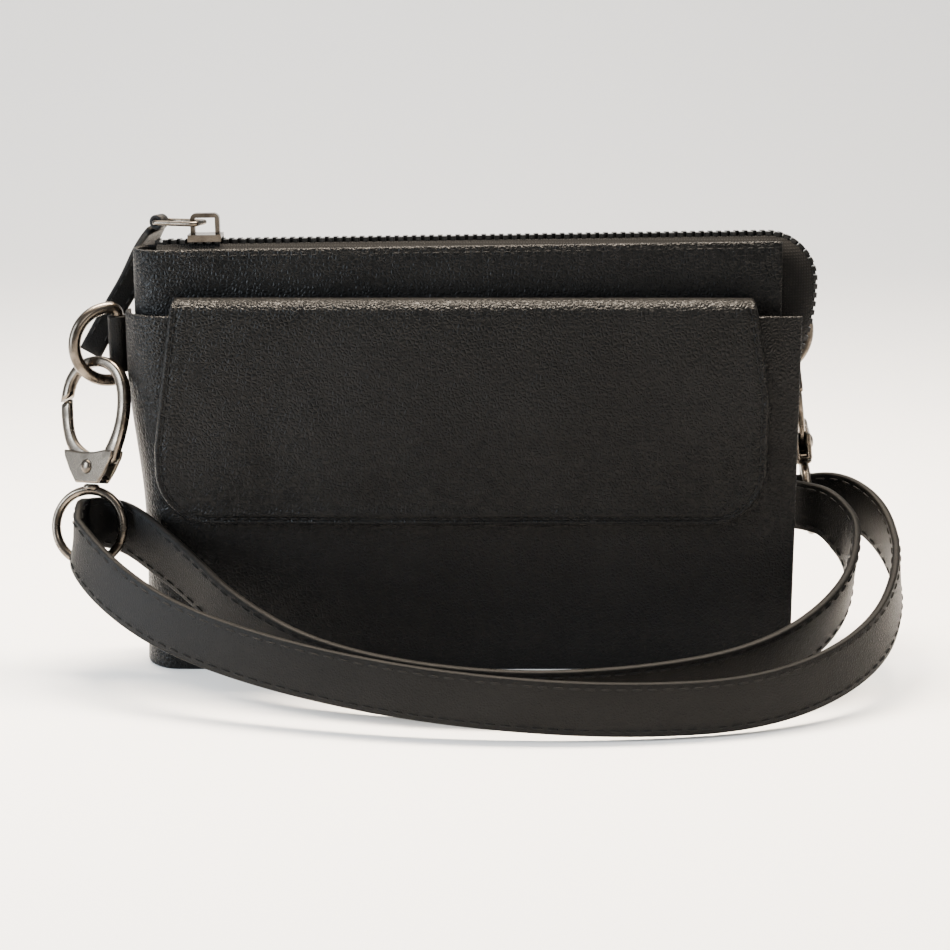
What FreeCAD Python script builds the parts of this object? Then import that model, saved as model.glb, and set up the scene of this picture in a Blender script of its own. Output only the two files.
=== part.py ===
import FreeCAD, Part
import math
import os
import Sketcher
from FreeCAD import Placement, Rotation, Vector

# Black leather wristlet wallet standing on its base: zipped body, front pocket with a flap, two D-rings on tabs
# and an endless strap on two snap hooks. Millimetres, X to the right, Y to the back, Z up from the table.

doc = FreeCAD.newDocument("wristlet_wallet")
sheet = doc.addObject("Spreadsheet::Sheet", "sizes")

SIZES = {
    "body_left": -105.0,
    "body_right": 95.5,
    "body_top": 133.6,
    "shoulder_height": 113.0,
    "half_base": 11.4,
    "half_shoulder": 10.6,
    "half_top": 7.6,
    "leather": 1.4,
    "lining": 0.5,
    "lining_gap": 0.2,
    "lining_height": 112.0,
    "gusset_height": 91.0,
    "zip_slope": 0.84,
    "pocket_front": 17.0,
    "pocket_leather": 1.3,
    "pocket_right": 101.0,
    "pocket_radius": 14.3,
    "pocket_height": 113.0,
    "flap_width": 188.0,
    "flap_centre": -3.0,
    "flap_bottom": 48.3,
    "flap_corner": 17.0,
    "flap_radius": 3.9,
    "flap_leather": 1.4,
    "flap_lining": 0.9,
    "hinge_back": -16.4,
    "hinge_height": 114.1,
    "magnet_radius": 6.0,
    "magnet_depth": 0.5,
    "zip_start": -97.0,
    "zip_turn": 91.6,
    "zip_height": 133.2,
    "zip_corner": 14.5,
    "zip_side_radius": 60.0,
    "zip_side_angle": 26.0,
    "tape_depth": 0.6,
    "tape_inner": 2.7,
    "tape_outer": 6.0,
    "tooth_pitch": 2.7,
    "tooth_length": 1.5,
    "tooth_inner": 0.45,
    "tooth_outer": 2.6,
    "tooth_height": 2.4,
    "slider_centre": -82.2,
    "slider_length": 10.4,
    "slider_width": 7.8,
    "plate_depth": 1.1,
    "plate_gap": 0.5,
    "bridge_width": 2.4,
    "bridge_height": 6.4,
    "bridge_length": 9.0,
    "bridge_wall": 1.4,
    "link_wire": 0.8,
    "link_length": 14.5,
    "link_width": 7.2,
    "link_yaw": 22.0,
    "link_bend": 1.3,
    "pull_width": 7.4,
    "pull_depth": 2.4,
    "ring_wire": 1.9,
    "ring_radius": 11.5,
    "ring_straight": 3.0,
    "ring_height": 101.4,
    "tab_height": 17.6,
    "tab_skin": 1.15,
    "tab_depth": 2.6,
    "fit": 0.05,
    "bow_wire": 1.7,
    "bow_radius": 12.9,
    "bow_height": 25.4,
    "base_height": 10.0,
    "base_low": 10.0,
    "base_high": 21.8,
    "base_depth": 5.4,
    "gate_depth": 2.3,
    "slot_depth": 2.8,
    "rivet_height": 5.2,
    "rivet_radius": 1.3,
    "rivet_head": 1.7,
    "eye_radius": 11.3,
    "eye_wire": 1.45,
    "post_radius": 1.6,
    "post_length": 3.0,
    "strap_width": 16.0,
    "strap_depth": 2.6,
}

for row, (alias, value) in enumerate(SIZES.items(), 1):
    sheet.set(f"A{row}", alias)
    sheet.set(f"B{row}", str(value))
    sheet.setAlias(f"B{row}", alias)
doc.recompute()

LEFT_BAR = Vector(-111.0, 2.5, 0)
RIGHT_BAR = Vector(95.9, 19.1, 0)
LEFT_RING_TURN = 210
RIGHT_RING_TURN = 22

# The strap's closed route, every corner of its smooth curve: point and how far its upper edge leans over.
# It runs from the left eye along the front of the table to the right eye, and back closer to the wallet.
STRAP_ROUTE = [
    ((-122.2, -17.5, 47.0), 4),
    ((-121.9, -25.5, 42.5), 8),
    ((-108.0, -40.0, 32.5), 12),
    ((-87.0, -54.0, 24.0), 8),
    ((-52.0, -68.0, 17.0), 6),
    ((-8.0, -79.0, 12.0), 5),
    ((42.0, -81.0, 8.8), 5),
    ((88.0, -73.0, 8.8), 6),
    ((121.0, -50.0, 16.5), 8),
    ((134.5, -21.0, 29.0), 6),
    ((133.0, 3.0, 41.5), 3),
    ((122.0, 18.0, 48.4), 0),
    ((109.0, 22.8, 46.2), 0),
    ((102.0, 19.0, 46.0), 0),
    ((102.6, 13.6, 46.4), 0),
    ((106.5, 7.6, 47.6), 0),
    ((115.0, 0.0, 47.0), 3),
    ((121.5, -13.0, 37.5), 7),
    ((113.0, -35.0, 24.0), 8),
    ((87.0, -54.0, 12.6), 7),
    ((45.0, -65.0, 8.6), 5),
    ((0.0, -67.0, 8.6), 5),
    ((-45.0, -56.0, 13.5), 6),
    ((-72.0, -40.0, 24.0), 9),
    ((-88.0, -27.5, 35.0), 5),
    ((-99.0, -19.8, 41.5), -2),
    ((-105.5, -14.4, 44.5), -7),
    ((-111.0, -9.9, 45.6), -9),
    ((-117.0, -7.6, 46.0), -5),
    ((-121.2, -9.0, 45.8), 0),
    ((-122.2, -12.6, 46.7), 2),
]
STRAP_STEPS = 5

PULL_ROUTE = [
    ((-98.4, 7.1, 137.6), (0.37, 0.93, 0)),
    ((-102.8, 14.6, 132.0), (0.75, 0.66, 0)),
    ((-108.0, 16.0, 120.0), (0.92, 0.2, -0.3)),
    ((-115.5, 14.6, 108.0), (0.88, 0.1, -0.47)),
    ((-121.8, 12.0, 96.6), (0.88, 0.0, -0.47)),
]
PULL_STEPS = 6

NODES = []


def size(alias):
    """A driving dimension as a plain number."""
    return float(sheet.get(alias))


def bind(item, **expressions):
    """Ties properties of an object to the sheet; a double underscore stands for a dot."""
    for name, expression in expressions.items():
        item.setExpression(name.replace("__", "."), expression)
    return item


def label(item, name):
    """Names a sub-part and keeps it for the export."""
    item.Label = name
    NODES.append(item)
    return item


def origin_plane(body, role):
    """One of a body's own origin planes, by its role."""
    return next(f for f in body.Origin.OriginFeatures if f.Role == role)


def add_sketch(body, name, role, edges, offset=None):
    """A closed sketch on one of the body's planes, each edge joined to the next."""
    sketch = body.newObject("Sketcher::SketchObject", name)
    sketch.AttachmentSupport = [(origin_plane(body, role), "")]
    sketch.MapMode = "FlatFace"
    if offset is not None:
        sketch.AttachmentOffset = offset
    sketch.addGeometry(edges, False)
    for i in range(len(edges)):
        j = (i + 1) % len(edges)
        ends = [(p, q) for p in (1, 2) for q in (1, 2)]
        near = min(ends, key=lambda e: sketch.getPoint(i, e[0]).distanceToPoint(sketch.getPoint(j, e[1])))
        sketch.addConstraint(Sketcher.Constraint("Coincident", i, near[0], j, near[1]))
    return sketch


def line(a, b):
    return Part.LineSegment(Vector(a[0], a[1], 0), Vector(b[0], b[1], 0))


def arc(centre, radius, start, middle, end):
    """An arc of a circle, by angles in degrees."""
    at = [polar(centre, radius, angle) for angle in (start, middle, end)]
    return Part.Arc(*at)


def polar(centre, radius, angle):
    turn = math.radians(angle)
    return Vector(centre[0] + radius * math.cos(turn), centre[1] + radius * math.sin(turn), 0)


def polygon(points):
    return [line(a, b) for a, b in zip(points, points[1:] + points[:1])]


def pad(body, sketch, length, midplane=False, reversed_way=False):
    item = body.newObject("PartDesign::Pad", f"{body.Name}_pad")
    item.Profile = sketch
    item.setExpression("Length", length)
    item.Midplane = midplane
    item.Reversed = reversed_way
    body.Tip = item
    return item


def new_body(name):
    return label(doc.addObject("PartDesign::Body", name), name)


def new_feature(name, shape):
    """A sub-part whose shape no sketch or primitive gives."""
    item = doc.addObject("Part::Feature", name)
    item.Shape = shape
    return label(item, name)


def cylinder(name, radius, height, base, direction=Vector(0, 0, 1)):
    item = doc.addObject("Part::Cylinder", name)
    bind(item, Radius=radius, Height=height)
    item.Placement = Placement(base, Rotation(Vector(0, 0, 1), direction))
    return item


def box(name, length, width, height, base, rotation=Rotation()):
    item = doc.addObject("Part::Box", name)
    bind(item, Length=length, Width=width, Height=height)
    item.Placement = Placement(base, rotation)
    return item


def fuse(name, items):
    item = doc.addObject("Part::MultiFuse", name)
    item.Shapes = items
    return item


def cut_away(name, base, tool):
    item = doc.addObject("Part::Cut", name)
    item.Base = base
    item.Tool = tool
    return item


# Wallet body: outer leather and lining, both a U in plan, open at the top and at the right.


def u_outline(half, depth, left, right):
    """A U in plan, its round end at the left: outside, right end, inside, right end."""
    centre = (left + half, 0)
    inner = half - depth
    return [
        line((right, -half), (centre[0], -half)),
        arc(centre, half, 270, 180, 90),
        line((centre[0], half), (right, half)),
        line((right, half), (right, inner)),
        line((right, inner), (centre[0], inner)),
        arc(centre, inner, 90, 180, 270),
        line((centre[0], -inner), (right, -inner)),
        line((right, -inner), (right, -half)),
    ]


def make_u(name, levels, depth, left, right):
    """A U-shaped wall through outlines at several heights: (height, half depth, slope of its top)."""
    body = new_body(name)
    sketches = []
    for number, (height, half, slope) in enumerate(levels):
        offset = Placement(Vector(0, 0, height), Rotation(Vector(0, 1, 0), -slope))
        edges = u_outline(half, depth, left, right)
        sketch = add_sketch(body, f"{name}_level{number}", "XY_Plane", edges, offset)
        sketch.addConstraint(Sketcher.Constraint("Radius", 1, half))
        sketches.append(sketch)
    loft = body.newObject("PartDesign::AdditiveLoft", f"{name}_loft")
    loft.Profile = sketches[0]
    loft.Sections = sketches[1:]
    loft.Ruled = True
    body.Tip = loft
    return body, sketches


def make_wallet_body():
    levels = [
        (0, size("half_base"), 0),
        (size("shoulder_height"), size("half_shoulder"), 0),
        (size("body_top"), size("half_top"), size("zip_slope")),
    ]
    left, right = size("body_left"), size("body_right")
    wrap, sketches = make_u("body_wrap", levels, size("leather"), left, right)
    for sketch, alias in zip(sketches, ("half_base", "half_shoulder", "half_top")):
        sketch.setExpression(f"Constraints[{sketch.ConstraintCount - 1}]", f"sizes.{alias}")
    inset = size("leather") + size("lining_gap")
    levels = [
        (size("leather") + 0.3, size("half_base") - inset, 0),
        (size("lining_height"), size("half_shoulder") - inset, 0),
    ]
    make_u("body_lining", levels, size("lining"), left + inset, right - 3)

    base = new_body("base_panel")
    half = size("half_base") - size("leather") - 0.05
    centre = (left + size("half_base"), 0)
    edges = [
        line((right, -half), (centre[0], -half)),
        arc(centre, half, 270, 180, 90),
        line((centre[0], half), (right, half)),
        line((right, half), (right, -half)),
    ]
    pad(base, add_sketch(base, "base_outline", "XY_Plane", edges), "sizes.leather")

    gusset = new_body("side_gusset")
    inner = size("half_shoulder") - size("leather") - 0.1
    offset = Placement(Vector(0, 0, size("leather") + 0.2), Rotation())
    edges = polygon([(right - 1.6, -inner), (right - 0.3, -inner), (right - 0.3, inner), (right - 1.6, inner)])
    pad(gusset, add_sketch(gusset, "gusset_outline", "XY_Plane", edges, offset), "sizes.gusset_height")


# Front pocket: its panel turns round the left fold and is open at the top.


def make_pocket():
    front, depth, radius = size("pocket_front"), size("pocket_leather"), size("pocket_radius")
    right = size("pocket_right")
    centre = (size("body_left") + 11.8, radius - front)
    inner = radius - depth
    end = 168
    panel = new_body("pocket_panel")
    edges = [
        line((right, -front), (centre[0], -front)),
        arc(centre, radius, 270, 220, end),
        line(polar(centre, radius, end), polar(centre, inner, end)),
        arc(centre, inner, end, 220, 270),
        line((centre[0], -front + depth), (right, -front + depth)),
        line((right, -front + depth), (right, -front)),
    ]
    pad(panel, add_sketch(panel, "pocket_outline", "XY_Plane", edges), "sizes.pocket_height")
    foot = box("pocket_base", "sizes.pocket_right - 2 - sizes.body_left - sizes.half_base",
               "sizes.pocket_front - sizes.pocket_leather - sizes.half_base - 0.2",
               "sizes.leather", Vector(centre[0], depth - front + 0.1, 0))
    label(foot, "pocket_base")


# Flap: two layers with a round roll at the top, which turns about the roll's centre line.


def make_flap_layer(name, outer, depth, bottom):
    """One layer of the flap: a flat leaf and a quarter turn over the top, with round lower corners."""
    body = new_body(name)
    centre = (size("hinge_back"), size("hinge_height"))
    inner = outer - depth
    edges = [
        line((centre[0] - outer, bottom), (centre[0] - outer, centre[1])),
        arc(centre, outer, 180, 135, 90),
        line((centre[0], centre[1] + outer), (centre[0], centre[1] + inner)),
        arc(centre, inner, 90, 135, 180),
        line((centre[0] - inner, centre[1]), (centre[0] - inner, bottom)),
        line((centre[0] - inner, bottom), (centre[0] - outer, bottom)),
    ]
    offset = Placement(Vector(0, 0, size("flap_centre")), Rotation())
    sketch = add_sketch(body, f"{name}_profile", "YZ_Plane", edges, offset)
    block = pad(body, sketch, "sizes.flap_width", midplane=True)
    doc.recompute()
    corners = []
    for number, edge in enumerate(block.Shape.Edges, 1):
        ends = [v.Point for v in edge.Vertexes]
        if len(ends) == 2 and all(p.z < bottom + 0.01 for p in ends) and abs(ends[0].x - ends[1].x) < 0.01:
            corners.append(f"Edge{number}")
    rounds = body.newObject("PartDesign::Fillet", f"{name}_corners")
    rounds.Base = (block, corners)
    rounds.setExpression("Radius", "sizes.flap_corner")
    body.Tip = rounds
    return body


def make_flap():
    outer, bottom = size("flap_radius"), size("flap_bottom")
    make_flap_layer("flap_outer", outer, size("flap_leather"), bottom)
    make_flap_layer("flap_lining", outer - size("flap_leather") - 0.05, size("flap_lining"), bottom + 0.4)
    strip = box("flap_seam_strip", "sizes.flap_width", "1.1", "5",
                Vector(size("flap_centre") - size("flap_width") / 2, -12.4, 114.3))
    label(strip, "flap_seam_strip")


def make_magnets():
    """A pair of thin snap magnets, one on the back of the flap, one on the back of the pocket panel."""
    height = size("flap_bottom") + 14
    leaf = size("hinge_back") - size("flap_radius") + size("flap_leather") + size("flap_lining") + 0.1
    behind = size("pocket_leather") + 0.1 - size("pocket_front")
    for name, back in (("flap_magnet", leaf), ("pocket_magnet", behind)):
        disc = cylinder(name, "sizes.magnet_radius", "sizes.magnet_depth",
                        Vector(size("flap_centre"), back, height), Vector(0, 1, 0))
        label(disc, name)


# Zip: two tapes and two rows of teeth along the top and round the right corner, with a slight slope.


def zip_outline(offset_out):
    """Key points of the zip's line moved outwards, with both arc centres and radii."""
    height, turn = size("zip_height"), size("zip_turn")
    corner, side = size("zip_corner"), size("zip_side_radius")
    corner_centre = (turn, height - corner)
    side_centre = (turn + corner - side, height - corner)
    return corner_centre, corner + offset_out, side_centre, side + offset_out


def make_tapes():
    half, height = size("tape_depth") / 2, size("zip_height")
    start, turn, fall = size("zip_start"), size("zip_turn"), -size("zip_side_angle")
    corner_out = zip_outline(half)
    corner_in = zip_outline(-half)
    edges = [
        line((start, height + half), (turn, height + half)),
        arc(corner_out[0], corner_out[1], 90, 45, 0),
        arc(corner_out[2], corner_out[3], 0, fall / 2, fall),
        line(polar(corner_out[2], corner_out[3], fall), polar(corner_in[2], corner_in[3], fall)),
        arc(corner_in[2], corner_in[3], fall, fall / 2, 0),
        arc(corner_in[0], corner_in[1], 0, 45, 90),
        line((turn, height - half), (start, height - half)),
        line((start, height - half), (start, height + half)),
    ]
    for name, side in (("zip_tape_front", -1), ("zip_tape_back", 1)):
        body = new_body(name)
        away = size("tape_inner") if side > 0 else -size("tape_outer")
        offset = Placement(Vector(0, 0, -away), Rotation())
        sketch = add_sketch(body, f"{name}_outline", "XZ_Plane", edges, offset)
        pad(body, sketch, "sizes.tape_outer - sizes.tape_inner", reversed_way=True)
        body.Placement = slope_placement()


def slope_placement():
    """What was made level is turned into the zip's slope, about the zip's start."""
    centre = Vector(size("zip_start"), 0, size("zip_height"))
    return Placement(Vector(), Rotation(Vector(0, 1, 0), -size("zip_slope")), centre)


def zip_stations(first, pitch):
    """Places along the zip's line, a pitch apart: point and angle of the tooth."""
    start, turn, height = size("zip_start"), size("zip_turn"), size("zip_height")
    corner_centre, corner, side_centre, side = zip_outline(0)
    straight = turn - start
    bend = corner * math.pi / 2
    total = straight + bend + side * math.radians(size("zip_side_angle"))
    along = first
    while along < total - pitch:
        if along < straight:
            yield Vector(start + along, 0, height), 0
        elif along < straight + bend:
            angle = 90 - math.degrees((along - straight) / corner)
            at = polar(corner_centre, corner, angle)
            yield Vector(at.x, 0, at.y), 90 - angle
        else:
            angle = -math.degrees((along - straight - bend) / side)
            at = polar(side_centre, side, angle)
            yield Vector(at.x, 0, at.y), 90 - angle
        along += pitch


def make_teeth():
    long, high, pitch = size("tooth_length"), size("tooth_height"), size("tooth_pitch")
    inner, outer = size("tooth_inner"), size("tooth_outer")
    for name, side, first in (("zip_teeth_front", -1, 2.4), ("zip_teeth_back", 1, 2.4 + pitch / 2)):
        teeth = []
        for point, angle in zip_stations(first, pitch):
            near = inner if side > 0 else -outer
            tooth = Part.makeBox(long, outer - inner, high, Vector(-long / 2, near, -high / 2))
            tooth.Placement = Placement(point, Rotation(Vector(0, 1, 0), angle))
            teeth.append(tooth)
        item = new_feature(name, Part.makeCompound(teeth))
        item.Placement = slope_placement()


def make_zip_stops():
    """The small blocks that join both tapes at each end of the zip."""
    stations = list(zip_stations(0, 0.5))
    top = box("zip_top_stop", "1.4", "2 * sizes.tape_inner - 0.2", "sizes.tooth_height",
              Vector(size("zip_start") - 0.6, 0.1 - size("tape_inner"), size("zip_height") - size("tooth_height") / 2))
    end, angle = stations[-1]
    base = Placement(end, Rotation(Vector(0, 1, 0), angle)).multVec(Vector(-1.2, 0.1 - size("tape_inner"), -1.2))
    low = box("zip_low_stop", "1.9", "2 * sizes.tape_inner - 0.2", "sizes.tooth_height", base,
              Rotation(Vector(0, 1, 0), angle))
    stops = label(fuse("zip_stops", [top, low]), "zip_stops")
    stops.Placement = slope_placement()


# Zip slider: two plates round the teeth, joined by a thin web between the rows, with a bridge on top.


def make_slider():
    centre, long, wide = size("slider_centre"), size("slider_length"), size("slider_width")
    middle = size("zip_height")
    gap = size("tooth_height") / 2 + size("plate_gap")
    start = centre - long / 2
    parts = []
    for name, low in (("upper_plate", middle + gap), ("lower_plate", middle - gap - size("plate_depth"))):
        parts.append(box(name, "sizes.slider_length", "sizes.slider_width", "sizes.plate_depth",
                         Vector(start, -wide / 2, low)))
    flange = "sizes.tooth_height / 2 + sizes.plate_gap - sizes.tape_depth / 2 - 0.4 + 0.1"
    reach = gap - size("tape_depth") / 2 - 0.4
    for number, edge in enumerate((-wide / 2, wide / 2 - 0.8)):
        for name, low in (("upper_flange", middle + gap - reach), ("lower_flange", middle - gap - 0.1)):
            parts.append(box(f"{name}{number}", "sizes.slider_length", "0.8", flange, Vector(start, edge, low)))
    parts.append(box("slider_web", "1.8", "0.5", "sizes.tooth_height + 2 * sizes.plate_gap + 0.2",
                     Vector(start + 0.3, -0.25, middle - gap - 0.1)))
    parts.append(make_bridge(middle + gap + size("plate_depth")))
    slider = label(fuse("zip_slider", parts), "zip_slider")
    slider.Placement = slope_placement()


def make_bridge(foot):
    """The slider's bridge, turned to lie along the link."""
    body = doc.addObject("PartDesign::Body", "slider_bridge")
    half, wall, high = size("bridge_length") / 2, size("bridge_wall"), size("bridge_height")
    bend = 1.8
    edges = [
        line((-half, -0.1), (-half, high - bend)),
        arc((bend - half, high - bend), bend, 180, 135, 90),
        line((bend - half, high), (half - bend, high)),
        arc((half - bend, high - bend), bend, 90, 45, 0),
        line((half, high - bend), (half, -0.1)),
        line((half, -0.1), (half - wall, -0.1)),
        line((half - wall, -0.1), (half - wall, high - wall)),
        line((half - wall, high - wall), (wall - half, high - wall)),
        line((wall - half, high - wall), (wall - half, -0.1)),
        line((wall - half, -0.1), (-half, -0.1)),
    ]
    pad(body, add_sketch(body, "bridge_outline", "XZ_Plane", edges), "sizes.bridge_width", midplane=True)
    body.Placement = Placement(Vector(size("slider_centre"), 0, foot), Rotation())
    return body


# Pull: a wire link in the bridge and a leather strip folded over the link's far end.


def link_ends():
    """Both end bars of the link: where its hinge is, and where the leather pull hangs."""
    hinge = Vector(size("slider_centre") - size("bridge_length") / 2 + size("bridge_wall") + 1.5, 0, 139.3)
    yaw = math.radians(size("link_yaw"))
    far = hinge + Vector(-math.cos(yaw), math.sin(yaw), 0) * size("link_length")
    slope = slope_placement()
    return slope.multVec(hinge), slope.multVec(far)


def link_side():
    yaw = math.radians(size("link_yaw"))
    return Vector(math.sin(yaw), math.cos(yaw), 0)


def rod(name, a, b, radius):
    return cylinder(name, radius, str((b - a).Length), a, b - a)


def ball(name, centre, radius):
    """A rounded corner of a wire, a touch fuller than the rods that it joins."""
    item = doc.addObject("Part::Sphere", name)
    bind(item, Radius=f"{radius} * 1.03")
    item.Placement = Placement(centre, Rotation())
    return item


def make_link():
    """The link lies level in its own frame, its length along X, then goes to its place between its two bars."""
    hinge, far = link_ends()
    half_long, half_wide, bend = (far - hinge).Length / 2, size("link_width") / 2, size("link_bend")
    reach, side = half_long - bend, half_wide - bend
    parts = []
    for number, (x, y) in enumerate(((reach, side), (-reach, side), (-reach, -side), (reach, -side))):
        corner = doc.addObject("Part::Torus", f"link_corner{number}")
        bind(corner, Radius1="sizes.link_bend", Radius2="sizes.link_wire")
        corner.Angle3 = 90
        corner.Placement = Placement(Vector(x, y, 0), Rotation(Vector(0, 0, 1), 90 * number))
        parts.append(corner)
    for number, way in enumerate((-1, 1)):
        long_side = (Vector(-reach, way * half_wide, 0), Vector(reach, way * half_wide, 0))
        end_bar = (Vector(way * half_long, -side, 0), Vector(way * half_long, side, 0))
        parts.append(rod(f"link_side{number}", *long_side, "sizes.link_wire"))
        parts.append(rod(f"link_bar{number}", *end_bar, "sizes.link_wire"))
    link = label(fuse("pull_link", parts), "pull_link")
    along = (far - hinge).normalize()
    across = link_side()
    link.Placement = Placement((hinge + far) * 0.5, Rotation(along, across, along.cross(across), "XYZ"))


def smooth_route(corners, steps, closed):
    """Points on the smooth curve whose corners are given: parabolas from middle to middle."""
    count = len(corners)
    spans = range(count) if closed else range(1, count - 1)
    points = [] if closed else [corners[0]]
    for i in spans:
        before, corner, after = corners[i - 1], corners[i], corners[(i + 1) % count]
        start = (before + corner) * 0.5 if closed or i > 1 else before
        end = (corner + after) * 0.5 if closed or i < count - 2 else after
        for step in range(steps):
            k = step / steps
            points.append(start * (1 - k) ** 2 + corner * (2 * k * (1 - k)) + end * k ** 2)
    return points if closed else points[1:] + [corners[-1]]


def band(points, across, width, depth, closed):
    """A flat strip along points: a solid between four ruled sides, given its width direction at each point."""
    rails = [[], [], [], []]
    count = len(points)
    for i, point in enumerate(points):
        after = points[(i + 1) % count] if closed or i < count - 1 else point
        before = points[i - 1] if closed or i > 0 else point
        tangent = (after - before).normalize()
        wide = (across[i] - tangent * across[i].dot(tangent)).normalize()
        flat = tangent.cross(wide)
        for rail, (a, b) in zip(rails, ((1, 1), (1, -1), (-1, -1), (-1, 1))):
            rail.append(point + wide * (a * width / 2) + flat * (b * depth / 2))
    faces = []
    spans = count if closed else count - 1
    for i in range(spans):
        j = (i + 1) % count
        for side in range(4):
            a, b = rails[side], rails[(side + 1) % 4]
            faces += [triangle(a[i], a[j], b[j]), triangle(a[i], b[j], b[i])]
    if not closed:
        for i in (0, count - 1):
            faces += [triangle(rails[0][i], rails[1][i], rails[2][i]), triangle(rails[0][i], rails[2][i], rails[3][i])]
    shell = Part.makeShell(faces)
    shell.sewShape()
    solid = Part.Solid(shell)
    if solid.Volume < 0:
        solid.reverse()
    return solid


def triangle(a, b, c):
    return Part.Face(Part.makePolygon([a, b, c, a]))


def make_leather_pull():
    corners = [Vector(*point) for point, way in PULL_ROUTE]
    ways = [Vector(*way) for point, way in PULL_ROUTE]
    points = smooth_route(corners, PULL_STEPS, closed=False)
    across = smooth_route(ways, PULL_STEPS, closed=False)
    strip = band(points, across, size("pull_width"), size("pull_depth"), closed=False)
    hinge, far = link_ends()
    side = link_side()
    wide = size("link_width") - 2 * size("link_bend") - 0.2
    eye = Part.makeCylinder(2.3, wide, far - side * (wide / 2), side)
    hole = Part.makeCylinder(size("link_wire") + size("fit"), wide + 20, far - side * (wide / 2 + 10), side)
    new_feature("leather_pull", eye.fuse(strip).cut(hole).removeSplitter())


# D-rings and their leather tabs, one at each end.


def make_dring(name, bar, turn):
    """A wire D: straight bar in the tab, two short arms and half a circle."""
    wire, radius, straight = "sizes.ring_wire", size("ring_radius"), size("ring_straight")
    middle = size("ring_height")
    half = doc.addObject("Part::Torus", f"{name}_bow")
    bind(half, Radius1="sizes.ring_radius", Radius2=wire)
    half.Angle3 = 180
    half.Placement = Placement(Vector(straight, 0, 0), Rotation(Vector(0, 0, -1), Vector(1, 0, 0), Vector(0, -1, 0)))
    parts = [half, rod(f"{name}_bar", Vector(0, 0, -radius), Vector(0, 0, radius), wire)]
    for number, height in enumerate((-radius, radius)):
        end = Vector(0, 0, height)
        parts.append(rod(f"{name}_arm{number}", end, end + Vector(straight, 0, 0), wire))
        parts.append(ball(f"{name}_corner{number}", end, wire))
    ring = label(fuse(name, parts), name)
    ring.Placement = Placement(bar + Vector(0, 0, middle), Rotation(Vector(0, 0, 1), turn))


def make_tab(name, bar, root):
    """A folded leather tab: a round loop over the ring's bar and two layers back to the wallet."""
    low = size("ring_height") - size("tab_height") / 2
    base = Vector(bar.x, bar.y, low)
    loop = cylinder(f"{name}_loop", "sizes.ring_wire + sizes.fit + sizes.tab_skin", "sizes.tab_height", base)
    way = root - bar
    angle = math.degrees(math.atan2(way.y, way.x))
    turn = Rotation(Vector(0, 0, 1), angle)
    corner = base + turn.multVec(Vector(0, -size("tab_depth") / 2, 0))
    leaf = box(f"{name}_leaf", str(way.Length), "sizes.tab_depth", "sizes.tab_height", corner, turn)
    hole = cylinder(f"{name}_hole", "sizes.ring_wire + sizes.fit", "sizes.tab_height + 2", base - Vector(0, 0, 1))
    label(cut_away(name, fuse(f"{name}_leather", [loop, leaf]), hole), name)


# Snap hooks, built upright with the foot of the base at the origin and the bow in the XZ plane.


def make_hook(side, place):
    """The four pieces of a hook: frame, gate, rivet and the leaf spring under the gate's heel."""
    frame = label(cut_away(f"{side}_hook_frame", fuse(f"{side}_frame_solid", hook_solids(side)),
                           fuse(f"{side}_frame_spaces", hook_spaces(side))), f"{side}_hook_frame")
    gate = make_gate(side)
    rivet = make_rivet(side)
    spring = box(f"{side}_gate_spring", "5.5", "1.8", "0.4", Vector(-4.2, -0.9, 1.5))
    label(spring, f"{side}_gate_spring")
    for item in (frame, gate, rivet):
        item.Placement = place
    spring.Placement = place.multiply(spring.Placement)


def hook_solids(side):
    """The bow, a wire up the right-hand leg and over the top to the nose, and the block at its foot."""
    radius, level = size("bow_radius"), size("bow_height")
    over = doc.addObject("Part::Torus", f"{side}_bow_top")
    bind(over, Radius1="sizes.bow_radius", Radius2="sizes.bow_wire")
    over.Angle3 = 180
    over.Placement = Placement(Vector(0, 0, level), Rotation(Vector(1, 0, 0), 90))
    shoulder = Vector(radius, 0, level)
    elbow = Vector(radius - 1.0, 0, level - 8)
    foot = Vector(size("base_high") / 2 - 2.2, 0, size("base_height") - 1.5)
    bow = [over]
    for number, (upper, lower) in enumerate(((shoulder, elbow), (elbow, foot))):
        bow.append(rod(f"{side}_bow_leg{number}", upper, lower, "sizes.bow_wire"))
        bow.append(ball(f"{side}_bow_bend{number}", upper, "sizes.bow_wire"))
    low, high, top = size("base_low") / 2, size("base_high") / 2, size("base_height")
    block = doc.addObject("PartDesign::Body", f"{side}_hook_base")
    edges = polygon([(-low, 0), (low, 0), (high, top - 2), (high, top), (-high, top), (-high, top - 2)])
    pad(block, add_sketch(block, f"{side}_base_outline", "XZ_Plane", edges), "sizes.base_depth", midplane=True)
    return bow + [block]


def hook_spaces(side):
    """The slot that the gate swings in and the rivet's hole."""
    slot = box(f"{side}_gate_slot", "sizes.base_high / 2 + 4.5", "sizes.slot_depth", "sizes.base_height",
               Vector(-size("base_high") / 2 - 0.5, -size("slot_depth") / 2, 1.3))
    hole = cylinder(f"{side}_rivet_hole", "sizes.rivet_radius", "sizes.base_depth + 2",
                    Vector(0, -size("base_depth") / 2 - 1, size("rivet_height")), Vector(0, 1, 0))
    post = cylinder(f"{side}_post_hole", "sizes.post_radius + sizes.fit", "4", Vector(0, 0, -2))
    return [slot, hole, post]


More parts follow.
